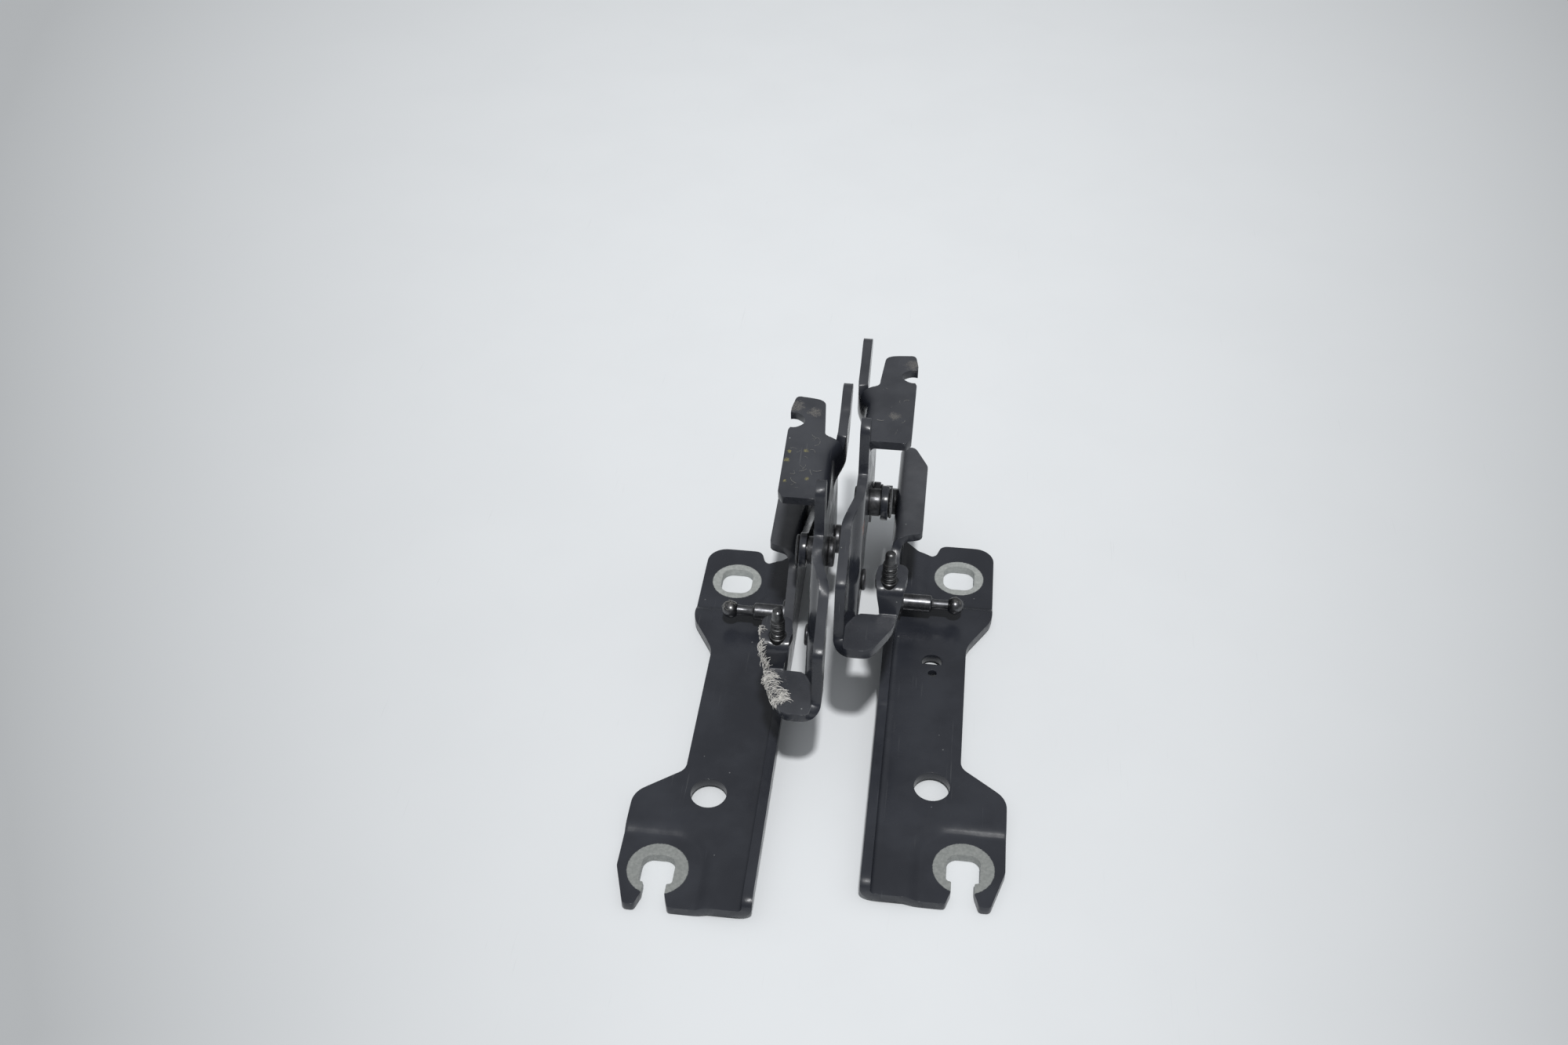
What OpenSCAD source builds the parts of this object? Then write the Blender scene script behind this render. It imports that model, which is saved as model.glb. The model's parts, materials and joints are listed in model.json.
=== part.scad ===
// A left and a right bonnet hinge, lying side by side as a pair.
// Each hinge is a body bracket, a bonnet arm and two links between them.
// Every piece is drawn once for the left hinge, from its fork centre:
// X inward to the other hinge, Y back along the hinge, Z up from the table.

/* [Pair] */
// Gap between the two arms
arm_gap = 2.4; // [2:0.2:40]
// How far the right hinge lies behind the left one
stagger = 14.4; // [0:0.2:30]
// Opening swing of the right hinge's links past the left hinge's
right_swing = 12.8; // [0:0.2:30]

/* [Bracket] */
// Sheet thickness of the bracket
bracket_t = 4; // [3:0.25:4.5]
// Inner face of the web, from the fork centre
web_in = 40; // [36:0.5:41]
// Front edge of the bracket, ahead of the fork centre
front_reach = 17.5; // [16:0.5:24]
// Rear end of the tower, behind the fork centre
tower_rear = 212; // [208:1:230]
// Step from the two bolting tabs up to the floor
tab_step = 2; // [1:0.25:3]
// Height of the low lip at the front of the web
lip_h = 11; // [9:0.5:16]
// Room between the upper rivet's head and the tower's top flange
head_room = 0.5; // [0.5:0.5:8]
// Outer edge of the tower's top flange, from the fork centre
tower_flange_x = 26.6; // [18:0.2:30]

/* [Bolting holes] */
// Width of the fork's seat
fork_w = 13.5; // [11:0.5:15]
// Width of the fork's throat
throat_w = 9.3; // [7:0.1:11]
// Diameter of the locating hole
locator_d = 15; // [10:0.5:18]
// Locating hole, back from the fork centre
locator_y = 38.5; // [36:0.5:60]
// Locating hole, inward from the fork centre
locator_x = 14.5; // [12:0.5:24]
// Width of the rear oblong hole
oblong_w = 14.6; // [10:0.2:16]
// Length of the rear oblong hole
oblong_l = 16; // [12:0.5:20]
// Oblong hole, back from the fork centre
oblong_y = 168.5; // [166:0.5:174]

/* [Links and rivets] */
// Thickness of each link
link_t = 3; // [2.5:0.1:4]
// Radius of each link's round ends
eye_r = 7.5; // [7:0.1:8.5]
// Diameter of the pivot rivets
rivet_d = 8; // [6:0.25:9]
// Diameter of the rivet heads
rivet_head_d = 13; // [11:0.25:14]
// Thickness of the rivet heads between the plates
low_head_t = 1.3; // [1:0.1:2]
// Thickness of the rivet heads outside the plates
high_head_t = 2.5; // [1.5:0.1:4]
// Thickness of the washer under the upper link
washer_t = 2; // [2:0.1:3]
// Outer diameter of the sleeves
sleeve_d = 12; // [10:0.25:13]
// Radial running clearance of a rivet in its link
run_gap = 0.05; // [0.02:0.01:0.1]
// Radial gap of a rivet in the plate that it is set in
set_gap = 0.02; // [0.01:0.01:0.05]
// Radial play where the lower link meets the arm
arm_play = 1.1; // [0.9:0.1:1.6]
// Side clearance between plates that turn past each other
side_gap = 0.3; // [0.2:0.05:0.5]
// Diameter of the stop rivet's head
stop_head_d = 9; // [7:0.5:12]
// Thickness of the stop rivet's head
stop_head_t = 1.9; // [1:0.1:3]

/* [Arm] */
// Sheet thickness of the arm
arm_t = 4; // [3:0.25:4.5]
// Sideways step of the arm's foot and tail
arm_step = 4.5; // [3:0.1:5]
// Width of the bonnet flange, out from the arm's web
bonnet_flange_w = 18.5; // [14:0.5:24]
// Slope of the bonnet flange, rear end up
bonnet_slope = 6.7; // [3:0.1:10]
// Radius of the hook notch in the bonnet flange
notch_r = 4.5; // [3:0.1:5]
// Height of the horn ahead of the bonnet flange
horn_h = 14; // [8:0.5:20]

/* [Studs] */
// Diameter of the bonnet stud's thread
stud_d = 6; // [5:0.5:8]
// Length of the bonnet stud's thread
stud_thread_l = 9; // [6:0.5:16]
// Diameter of the bonnet stud's dog point
stud_point_d = 4.5; // [3.5:0.1:4.8]
// Length of the bonnet stud's dog point
stud_point_l = 6; // [3:0.5:10]
// Diameter of the gas spring ball
ball_d = 8; // [8:0.5:10]
// Diameter of the ball stud's shank
ball_shank_d = 8; // [7:0.25:9]
// Length of the ball stud's shank
ball_shank_l = 13.5; // [8:0.5:18]
// Ball centre, out from the web
ball_reach = 26.6; // [24:0.2:32]

/* [Hidden] */
$fn = 48;
steel_black = "#2b2d31";
steel_grey = "#8d9092";
eps = 0.01;
far = 400;

// Pivots of the two links on the tower and on the arm, as [back, up]
upper_tower = [180, 39];
lower_tower = [194, 27.7];
upper_arm = [126.4, 65.9];
lower_arm = [157.3, 46];
// Turn of the lower link and of the arm for each degree of the upper link
lower_ratio = 1.14;
arm_ratio = 0.38;

// The plates stacked inward from the web
web_out = web_in - bracket_t;
upper_x = web_in + washer_t + side_gap;
upper_head_x = upper_x + link_t + side_gap;
lower_x = upper_head_x + low_head_t + side_gap;
arm_x = lower_x + link_t + side_gap;
arm_in = arm_x + arm_t;
foot_x = arm_x + arm_step;
foot_in = foot_x + arm_t;
pair_w = 2 * foot_in + arm_gap;

// Levels of the bracket: tabs on the table, floor one step up
floor_z = tab_step;
floor_top = floor_z + bracket_t;
rivet_r = rivet_d / 2;
tower_h = upper_tower.y + rivet_head_d / 2 + bracket_t + head_room;
rear_tab_y = oblong_y - 18.5;
rear_tab_x = 21;
fork_tab_x = 17;
fork_tab_y = 15.5;
ramp_w = 3 * tab_step;
oblong_x = 7.8;
tab_side_x = -16.5;
rear_side_x = -8.4;
waist_x = 3;
floor_rear = 190.5;
ball_at = [138, 15];
floor_slot = [18, 110];

// Foot of the arm: height of its floor's front edge and of its finger
foot_front_y = 47;
foot_z = 49.3;
finger_z = 62;
finger_rear = 89;
riser_y = 69.5;
finger_x0 = 31.2;
stud_at = [38.5, 78];
stud_base_r = stud_d / 2 + 0.6;
bonnet_y = 113;
bonnet_z = 106;
horn_y = bonnet_y - 11.5;
horn_z = bonnet_z - 9;
horn_w = 10;
boss_r = 11;
// Stop rivet on the arm, as [back, up]
stop_at = [88.3, 53];
// Where the arm's step starts, as [back, up], how it leans back and how long it is
step_at = [64, 57];
step_lean = 24;
step_l = 11;
bonnet_x0 = arm_x + 2 - bonnet_flange_w;
hook_l = 60;
tail_y = 140;
tail_rear = tail_y + 46;

mid_y = (tower_rear - front_reach) / 2;

// Rounded outlines: each corner of a polygon becomes an arc of its own radius
function unit(v) = v / norm(v);

function corner_arc(a, b, c, r, n = 6) =
    let (u = unit(a - b), v = unit(c - b), half = acos(u * v) / 2)
    let (mid = b + unit(u + v) * r / sin(half))
    let (s = b + u * r / tan(half) - mid, e = b + v * r / tan(half) - mid)
    let (a0 = atan2(s.y, s.x), turn = (atan2(e.y, e.x) - a0 + 540) % 360 - 180)
    [for (i = [0:n]) mid + r * [cos(a0 + turn * i / n), sin(a0 + turn * i / n)]];

function rounded(pts, radii) =
    let (n = len(pts))
    [for (i = [0:n - 1])
        each radii[i] > 0
            ? corner_arc(pts[(i + n - 1) % n], pts[i], pts[(i + 1) % n], radii[i])
            : [pts[i]]];

// A side outline given as [back, up], extruded inward from x0
module across(x0, w) {
    translate([x0, 0, 0])
        rotate([90, 0, 90])
            linear_extrude(w)
                children();
}

// A round piece lying across the hinge at [back, up]
module rod(at, r, x0, x1) {
    translate([x0, at.x, at.y])
        rotate([0, 90, 0])
            cylinder(r = r, h = x1 - x0);
}

module turn_about(at, a) {
    translate([0, at.x, at.y])
        rotate([a, 0, 0])
            translate([0, -at.x, -at.y])
                children();
}

// Where each hinge lies in the pair
module left_side() {
    translate([-pair_w / 2, -stagger / 2 - mid_y, 0])
        children();
}

module right_side() {
    translate([pair_w / 2, stagger / 2 - mid_y, 0])
        mirror([1, 0, 0])
            children();
}

// How the moving pieces stand after the upper link has swung by a degrees
module upper_pose(a) {
    turn_about(upper_tower, -a) children();
}

module lower_pose(a) {
    turn_about(lower_tower, -a * lower_ratio) children();
}

module arm_pose(a) {
    upper_pose(a)
        turn_about(upper_arm, a * (1 - arm_ratio))
            children();
}

// Body bracket

module bracket_outline() {
    polygon(rounded([
        [web_in, -front_reach],
        [-11, -front_reach],
        [tab_side_x, 0],
        [tab_side_x, 35.5],
        [waist_x, 50],
        [waist_x, rear_tab_y - 29],
        [rear_side_x, rear_tab_y - 10],
        [rear_side_x, floor_rear],
        [17, floor_rear],
        [19.5, floor_rear - 8],
        [27, floor_rear - 8],
        [web_out, floor_rear],
        [web_in, floor_rear]
    ], [0, 2, 4, 10, 6, 15, 15, 9, 4, 3, 5, 2, 0]));
}

// Everything below a surface that steps up from a tab to the floor, along one direction
module step_section(top) {
    polygon([
        [-far, -far],
        [-far, top],
        [0, top],
        [ramp_w, top + tab_step],
        [far, top + tab_step],
        [far, -far]
    ]);
}

module step_inward(x, top) {
    translate([x, far, 0])
        rotate([90, 0, 0])
            linear_extrude(2 * far)
                step_section(top);
}

module below_sheet(top) {
    intersection() {
        union() {
            across(-far, 2 * far)
                translate([fork_tab_y, 0])
                    step_section(top);
            step_inward(fork_tab_x, top);
        }
        union() {
            across(-far, 2 * far)
                translate([rear_tab_y, 0])
                    mirror([1, 0])
                        step_section(top);
            step_inward(rear_tab_x, top);
        }
    }
}

module bracket_floor() {
    intersection() {
        translate([0, 0, -1])
            linear_extrude(floor_top + 2)
                bracket_outline();
        difference() {
            below_sheet(bracket_t);
            below_sheet(0);
        }
    }
}

module web_outline() {
    polygon(rounded([
        [-front_reach, floor_z],
        [-front_reach, lip_h],
        [75, lip_h + 1.5],
        [84, lip_h + 5],
        [112, tower_h - 24],
        [142, tower_h],
        [tower_rear - 4, tower_h],
        [tower_rear, tower_h - 12],
        [tower_rear - 6, 18],
        [floor_rear, floor_z]
    ], [0, 5, 4, 4, 10, 8, 3, 3, 10, 3]));
}

module tower_flange() {
    translate([0, 0, tower_h - bracket_t])
        linear_extrude(bracket_t)
            polygon(rounded([
                [web_in, 146],
                [web_out - 3, 144],
                [tower_flange_x, 146],
                [tower_flange_x, tower_rear - 18],
                [web_out - 3, tower_rear - 4.5],
                [web_in, tower_rear - 6]
            ], [0, 2, 3, 6, 2, 0]));
}

module fork_cut() {
    translate([0, 0, -1])
        linear_extrude(floor_top + 2) {
            polygon(rounded([
                [-fork_w / 2, -fork_w / 2],
                [fork_w / 2, -fork_w / 2],
                [fork_w / 2, fork_w / 2],
                [-fork_w / 2, fork_w / 2]
            ], [3, 3, 4.5, 4.5]));
            polygon([
                [-throat_w / 2, 0],
                [-throat_w / 2, -front_reach + 6],
                [-throat_w / 2 - 2, -front_reach - 1],
                [throat_w / 2 + 2, -front_reach - 1],
                [throat_w / 2, -front_reach + 6],
                [throat_w / 2, 0]
            ]);
        }
}

module oblong_cut() {
    translate([oblong_x, oblong_y, -1])
        linear_extrude(floor_top + 2)
            polygon(rounded([
                [-oblong_w / 2, -oblong_l / 2],
                [oblong_w / 2, -oblong_l / 2],
                [oblong_w / 2, oblong_l / 2],
                [-oblong_w / 2, oblong_l / 2]
            ], [5, 5, 5, 5]));
}

// Half-moon slot and small hole that only the right bracket has
module floor_pierce() {
    translate([floor_slot.x, floor_slot.y, -1])
        linear_extrude(floor_top + 2) {
            intersection() {
                circle(d = 9);
                translate([-6, -1.5])
                    square([12, 8]);
            }
            translate([-0.5, -7])
                circle(d = 4);
        }
}

module bracket(pierced) {
    color(steel_black)
        difference() {
            union() {
                bracket_floor();
                across(web_out, bracket_t)
                    web_outline();
                tower_flange();
            }
            fork_cut();
            oblong_cut();
            translate([locator_x, locator_y, -1])
                cylinder(d = locator_d, h = floor_top + 2);
            rod(upper_tower, rivet_r + set_gap, web_out - 1, web_in + 1);
            rod(lower_tower, rivet_r + set_gap, web_out - 1, web_in + 1);
            rod(ball_at, ball_shank_d / 2 - 1 + set_gap, web_out - 1, web_in + 1);
            if (pierced)
                floor_pierce();
        }
}

// Bonnet arm

module arm_outline() {
    polygon(rounded([
        [foot_front_y + 4, foot_z - arm_t],
        [foot_front_y + 7.5, foot_z + 26],
        [horn_y - 7.5, horn_z - 0.5],
        [horn_y, horn_z],
        [horn_y, bonnet_z + horn_h],
        [horn_y + horn_w, bonnet_z + horn_h],
        [bonnet_y - 1, bonnet_z - 0.5],
        [tail_y + 8, bonnet_z + (tail_y + 8 - bonnet_y) * tan(bonnet_slope)],
        [lower_arm.x + boss_r, bonnet_z - 18],
        [lower_arm.x + boss_r, lower_arm.y],
        [lower_arm.x - boss_r, lower_arm.y],
        [upper_arm.x, upper_arm.y - boss_r],
        [stop_at.x + 2 * boss_r, stop_at.y + 5],
        [stop_at.x + boss_r, stop_at.y - boss_r],
        [stop_at.x - boss_r, stop_at.y - boss_r],
        [stop_at.x - 2 * boss_r, foot_z - arm_t]
    ], [2, 4, 2, 1.5, 4.5, 4.5, 2, 4, 12, 0, 0, 10, 8, boss_r - 1, 8, 2]));
    translate(lower_arm)
        circle(r = boss_r);
}

// The tail leaves the web behind the bonnet flange and runs on, one step further in
module tail_outline() {
    polygon(rounded([
        [tail_y - 4, bonnet_z - 16],
        [tail_y - 4, bonnet_z + (tail_y - 4 - bonnet_y) * tan(bonnet_slope)],
        [tail_y + 24, bonnet_z + (tail_y + 24 - bonnet_y) * tan(bonnet_slope)],
        [tail_rear - 10, bonnet_z + 11.5],
        [tail_rear, bonnet_z + 7],
        [tail_rear - 10, bonnet_z - 3],
        [tail_y + 14, bonnet_z - 10]
    ], [0, 0, 10, 5, 4, 8, 6]));
}

// The sheet seen along its step: foot, step, middle
module arm_plan() {
    polygon([
        [foot_x, -far],
        [foot_x, 0],
        [arm_x, step_l],
        [arm_x, far],
        [arm_in, far],
        [arm_in, step_l],
        [foot_in, 0],
        [foot_in, -far]
    ]);
}

module tail_plan() {
    polygon([
        [arm_x, tail_y - 5],
        [arm_x, tail_y],
        [foot_x, tail_y + 14],
        [foot_x, tail_rear + 5],
        [foot_in, tail_rear + 5],
        [foot_in, tail_y + 14],
        [arm_in, tail_y],
        [arm_in, tail_y - 5]
    ]);
}

module arm_web() {
    intersection() {
        across(arm_x - 1, foot_in - arm_x + 2)
            arm_outline();
        translate([0, step_at.x, step_at.y])
            rotate([-step_lean, 0, 0])
                translate([0, 0, -far])
                    linear_extrude(2 * far)
                        arm_plan();
    }
    intersection() {
        across(arm_x - 1, foot_in - arm_x + 2)
            tail_outline();
        translate([0, 0, 80])
            linear_extrude(60)
                tail_plan();
    }
}

// Bonnet flange, drawn flat and tilted to its slope
module bonnet_flange() {
    outer = bonnet_x0;
    translate([0, bonnet_y, bonnet_z])
        rotate([bonnet_slope, 0, 0])
            translate([0, 0, -arm_t])
                linear_extrude(arm_t)
                    difference() {
                        polygon(rounded([
                            [arm_in - 1, 0],
                            [outer + 2, 0],
                            [outer, 3],
                            [outer, hook_l - 8],
                            [outer + 1.5, hook_l],
                            [outer + 12, hook_l - 3],
                            [outer + 14.5, hook_l - 8],
                            [outer + 14.5, hook_l - 24],
                            [arm_in - 1, hook_l - 24]
                        ], [0, 1, 1, 1, 2, 2, 3, 2, 0]));
                        translate([outer + 1.5, hook_l - 15])
                            circle(r = notch_r);
                        polygon([
                            [outer + 1.5, hook_l - 15 - notch_r],
                            [outer - 1, hook_l - 16 - notch_r - 2],
                            [outer - 1, hook_l - 13],
                            [outer + 1.5, hook_l - 13]
                        ]);
                    }
}

// Foot: sloping floor, riser and raised finger, seen from the side and from above
module foot_section() {
    polygon([
        [foot_front_y - 1, foot_z],
        [riser_y, foot_z],
        [riser_y + 2, foot_z + 2],
        [riser_y + 4, finger_z - 2],
        [riser_y + 6, finger_z],
        [finger_rear + 2, finger_z],
        [finger_rear + 2, finger_z - arm_t],
        [riser_y + 8.4, finger_z - arm_t],
        [riser_y + 6.2, foot_z],
        [riser_y + 2.2, foot_z - arm_t],
        [foot_front_y - 1, foot_z - arm_t]
    ]);
}

module foot_outline() {
    polygon(rounded([
        [foot_in, foot_front_y + 4.5],
        [foot_in - 5, foot_front_y],
        [45, foot_front_y],
        [35, 62],
        [finger_x0, 80],
        [finger_x0, finger_rear],
        [finger_x0 + 12, finger_rear],
        [finger_x0 + 13.5, riser_y + 2.5],
        [arm_x + 1, riser_y + 2.5],
        [arm_in, riser_y + 2.5],
        [foot_in, riser_y - 9]
    ], [0, 6, 8, 14, 10, 4, 4, 3, 0, 0, 0]));
}

module arm_foot() {
    intersection() {
        across(finger_x0 - 5, foot_in - finger_x0 + 10)
            foot_section();
        translate([0, 0, 30])
            linear_extrude(50)
                foot_outline();
    }
}

module arm() {
    color(steel_black)
        difference() {
            union() {
                arm_web();
                bonnet_flange();
                arm_foot();
            }
            rod(upper_arm, rivet_r + set_gap, arm_x - 1, foot_in + 1);
            rod(stop_at, stop_head_d / 3 + set_gap, arm_x - 1, foot_in + 1);
            rod(lower_arm, rivet_r + arm_play, arm_x - 1, foot_in + 1);
            translate([stud_at.x, stud_at.y, finger_z - arm_t - set_gap])
                cylinder(r = stud_base_r + set_gap, h = arm_t + 2);
        }
}

// Links, rivets, washer and sleeves

module link(from, to, x0, r_from, r_to) {
    l = norm(to - from);
    a = atan2(to.y - from.y, to.x - from.x);
    color(steel_black)
        across(x0, link_t)
            difference() {
                union() {
                    translate(from)
                        circle(r = eye_r);
                    translate(to)
                        circle(r = eye_r);
                    translate(from)
                        rotate(a)
                            translate([0, -eye_r + 1])
                                square([l, 2 * eye_r - 2]);
                }
                translate(from)
                    circle(r = r_from);
                translate(to)
                    circle(r = r_to);
            }
}

module upper_link() {
    link(upper_tower, upper_arm, upper_x, rivet_r + run_gap, rivet_r + run_gap);
}

module lower_link() {
    link(lower_tower, lower_arm, lower_x, rivet_r + run_gap, rivet_r + set_gap);
}

module upper_tower_rivet() {
    color(steel_grey) {
        rod(upper_tower, rivet_head_d / 2, web_out - high_head_t, web_out);
        rod(upper_tower, rivet_r, web_out - eps, upper_head_x + eps);
        rod(upper_tower, rivet_head_d / 2, upper_head_x, upper_head_x + low_head_t);
    }
}

module lower_tower_rivet() {
    color(steel_grey) {
        rod(lower_tower, rivet_head_d / 2, web_out - high_head_t, web_out);
        rod(lower_tower, rivet_r, web_out - eps, arm_x + eps);
        rod(lower_tower, rivet_head_d / 2, arm_x, arm_x + low_head_t);
    }
}

module upper_arm_rivet() {
    head_x = upper_x - side_gap - low_head_t;
    color(steel_grey) {
        rod(upper_arm, rivet_head_d / 2, head_x, head_x + low_head_t);
        rod(upper_arm, rivet_r, head_x + eps, arm_in + eps);
        rod(upper_arm, rivet_head_d / 2, arm_in, arm_in + high_head_t);
    }
}

module lower_arm_rivet() {
    head_x = arm_in + side_gap;
    color(steel_grey) {
        rod(lower_arm, rivet_head_d / 2, lower_x - low_head_t, lower_x);
        rod(lower_arm, rivet_r, lower_x - eps, head_x + eps);
        rod(lower_arm, rivet_head_d / 2, head_x, head_x + high_head_t);
    }
}

module ring(at, r_out, x0, x1) {
    difference() {
        rod(at, r_out, x0, x1);
        rod(at, rivet_r + set_gap, x0 - 1, x1 + 1);
    }
}

module tower_washer() {
    color(steel_grey)
        ring(upper_tower, sleeve_d / 2, web_in, web_in + washer_t);
}

module tower_sleeve() {
    color(steel_grey)
        ring(lower_tower, sleeve_d / 2, web_in, lower_x - side_gap);
}

module arm_sleeve() {
    color(steel_grey)
        ring(upper_arm, sleeve_d / 2, upper_head_x, arm_x);
}

// Stop rivet, set in the arm's web with its head outward
module stop_rivet() {
    color(steel_grey) {
        rod(stop_at, stop_head_d / 2, arm_x - stop_head_t, arm_x);
        rod(stop_at, stop_head_d / 3, arm_x - eps, arm_in);
    }
}

// Studs

module ball_stud() {
    tail_r = ball_shank_d / 2 - 1;
    neck_r = ball_d / 2 - 1.6;
    shoulder_x = web_out - ball_shank_l;
    ball_x = web_out - ball_reach;
    color(steel_black) {
        rod(ball_at, tail_r, web_out - eps, web_in + eps);
        rod(ball_at, tail_r + 2, web_in, web_in + low_head_t);
        rod(ball_at, ball_shank_d / 2 + 2.5, web_out - 2.5, web_out);
        rod(ball_at, ball_shank_d / 2, shoulder_x, web_out - 2.5 + eps);
        rod(ball_at, neck_r, ball_x, shoulder_x + eps);
        translate([ball_x, ball_at.x, ball_at.y])
            sphere(d = ball_d);
    }
}

module bonnet_stud() {
    color(steel_black)
        translate([stud_at.x, stud_at.y, 0]) {
            translate([0, 0, finger_z - arm_t])
                cylinder(r = stud_base_r, h = arm_t);
            translate([0, 0, finger_z - eps])
                cylinder(r = stud_d / 2, h = stud_thread_l + eps);
            translate([0, 0, finger_z + stud_thread_l - eps])
                cylinder(r = stud_point_d / 2, h = stud_point_l + eps);
        }
}

// The pair

module left_body_bracket() left_side() bracket(false);
module right_body_bracket() right_side() bracket(true);
module left_bonnet_arm() left_side() arm_pose(0) arm();
module right_bonnet_arm() right_side() arm_pose(right_swing) arm();
module left_upper_link() left_side() upper_pose(0) upper_link();
module right_upper_link() right_side() upper_pose(right_swing) upper_link();
module left_lower_link() left_side() lower_pose(0) lower_link();
module right_lower_link() right_side() lower_pose(right_swing) lower_link();
module left_upper_tower_rivet() left_side() upper_tower_rivet();
module right_upper_tower_rivet() right_side() upper_tower_rivet();
module left_lower_tower_rivet() left_side() lower_tower_rivet();
module right_lower_tower_rivet() right_side() lower_tower_rivet();
module left_upper_arm_rivet() left_side() arm_pose(0) upper_arm_rivet();
module right_upper_arm_rivet() right_side() arm_pose(right_swing) upper_arm_rivet();
module left_lower_arm_rivet() left_side() lower_pose(0) lower_arm_rivet();
module right_lower_arm_rivet() right_side() lower_pose(right_swing) lower_arm_rivet();
module left_tower_washer() left_side() tower_washer();
module right_tower_washer() right_side() tower_washer();
module left_tower_sleeve() left_side() tower_sleeve();
module right_tower_sleeve() right_side() tower_sleeve();
module left_arm_sleeve() left_side() arm_pose(0) arm_sleeve();
module right_arm_sleeve() right_side() arm_pose(right_swing) arm_sleeve();
module left_stop_rivet() left_side() arm_pose(0) stop_rivet();
module right_stop_rivet() right_side() arm_pose(right_swing) stop_rivet();
module left_ball_stud() left_side() ball_stud();
module right_ball_stud() right_side() ball_stud();
module left_bonnet_stud() left_side() arm_pose(0) bonnet_stud();
module right_bonnet_stud() right_side() arm_pose(right_swing) bonnet_stud();

left_body_bracket();
right_body_bracket();
left_bonnet_arm();
right_bonnet_arm();
left_upper_link();
right_upper_link();
left_lower_link();
right_lower_link();
left_upper_tower_rivet();
right_upper_tower_rivet();
left_lower_tower_rivet();
right_lower_tower_rivet();
left_upper_arm_rivet();
right_upper_arm_rivet();
left_lower_arm_rivet();
right_lower_arm_rivet();
left_tower_washer();
right_tower_washer();
left_tower_sleeve();
right_tower_sleeve();
left_arm_sleeve();
right_arm_sleeve();
left_stop_rivet();
right_stop_rivet();
left_ball_stud();
right_ball_stud();
left_bonnet_stud();
right_bonnet_stud();
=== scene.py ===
# %% [markdown]
# A pair of bonnet hinges, dressed for a studio picture
#
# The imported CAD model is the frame: every bracket, arm, link and rivet stands in it where it
# belongs. This script keeps those places and gives each piece the rounded bends, the worn black
# paint and the dirt of a pair that has been taken off a car.

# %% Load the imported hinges
import json
import math

import bmesh
import bpy
import numpy as np
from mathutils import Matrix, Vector
from mathutils.geometry import delaunay_2d_cdt


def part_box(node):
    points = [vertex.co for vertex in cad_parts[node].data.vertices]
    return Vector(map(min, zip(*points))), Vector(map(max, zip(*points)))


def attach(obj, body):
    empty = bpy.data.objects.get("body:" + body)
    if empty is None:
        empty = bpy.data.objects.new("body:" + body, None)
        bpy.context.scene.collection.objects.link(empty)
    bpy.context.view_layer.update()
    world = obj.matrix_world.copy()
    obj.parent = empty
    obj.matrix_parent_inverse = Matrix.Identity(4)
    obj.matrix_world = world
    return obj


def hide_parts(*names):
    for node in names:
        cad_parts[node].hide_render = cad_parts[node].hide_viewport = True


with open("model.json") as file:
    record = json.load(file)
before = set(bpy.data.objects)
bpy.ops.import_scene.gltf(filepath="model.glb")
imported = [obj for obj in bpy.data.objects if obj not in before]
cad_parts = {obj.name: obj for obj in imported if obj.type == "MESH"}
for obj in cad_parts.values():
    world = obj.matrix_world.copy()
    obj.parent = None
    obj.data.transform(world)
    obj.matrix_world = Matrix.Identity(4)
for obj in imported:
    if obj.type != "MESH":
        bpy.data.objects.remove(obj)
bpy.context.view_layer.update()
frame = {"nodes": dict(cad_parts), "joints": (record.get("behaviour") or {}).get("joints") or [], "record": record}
nodes = frame["nodes"]
MM = 0.001
SIDES = ("left", "right")

# %% [markdown]
# One hinge frame for both sides
#
# The two hinges are mirror images. Each could be given its own places, but then every size would
# stand here twice. So a place on a hinge is given once, in the hinge's own millimetres: inward
# from the fork, back along the hinge, up from the table. The row is the pair as it lies in the
# frame, in metres, and the fork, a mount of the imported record, gives each hinge's place in it.

# %% Places on a hinge
mount_at = {m["name"]: Vector(m["pos_m"]) for m in frame["record"]["mounts"]}
joint_at = {j["name"]: Vector(j["pos_m"]) for j in frame["joints"]}
INWARD = {"left": 1, "right": -1}


def on_hinge(side, inward, back, up):
    """A place given in the hinge's own millimetres, in the row frame."""
    fork = mount_at[side + "_fork"]
    return Vector((fork.x + INWARD[side] * inward * MM, fork.y + back * MM, up * MM))


def from_row(point, side="left"):
    """A row place as (back, up) in the hinge's own millimetres."""
    return ((point.y - mount_at[side + "_fork"].y) / MM, point.z / MM)


UPPER_TOWER = from_row(joint_at["left_upper_swing"])
LOWER_TOWER = from_row(joint_at["left_lower_swing"])
UPPER_ARM = from_row(joint_at["left_arm_tilt"])
BALL = from_row(mount_at["left_gas_spring_ball"])
LOWER_ARM = from_row(sum(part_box("left_lower_arm_rivet"), Vector()) / 2)
STOP = from_row(sum(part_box("left_stop_rivet"), Vector()) / 2)
print("tower pivots, back and up:", [[round(v, 2) for v in p] for p in (UPPER_TOWER, LOWER_TOWER)])

# %% [markdown]
# The camera
#
# The picture was taken from in front and above with a short lens, so the forks look large and the
# towers small. A lens can be guessed by eye. Here it was fitted to both hinges at once, which
# works because they are mirror images, so this camera gives the same perspective.

# %% Camera
LENS_MM = 36.0
SENSOR_MM = 36.0
CAMERA_AT = (0.0345, -0.4739, 0.516)
CAMERA_DOWN = 41.1
CAMERA_TURN = 6.83

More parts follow.
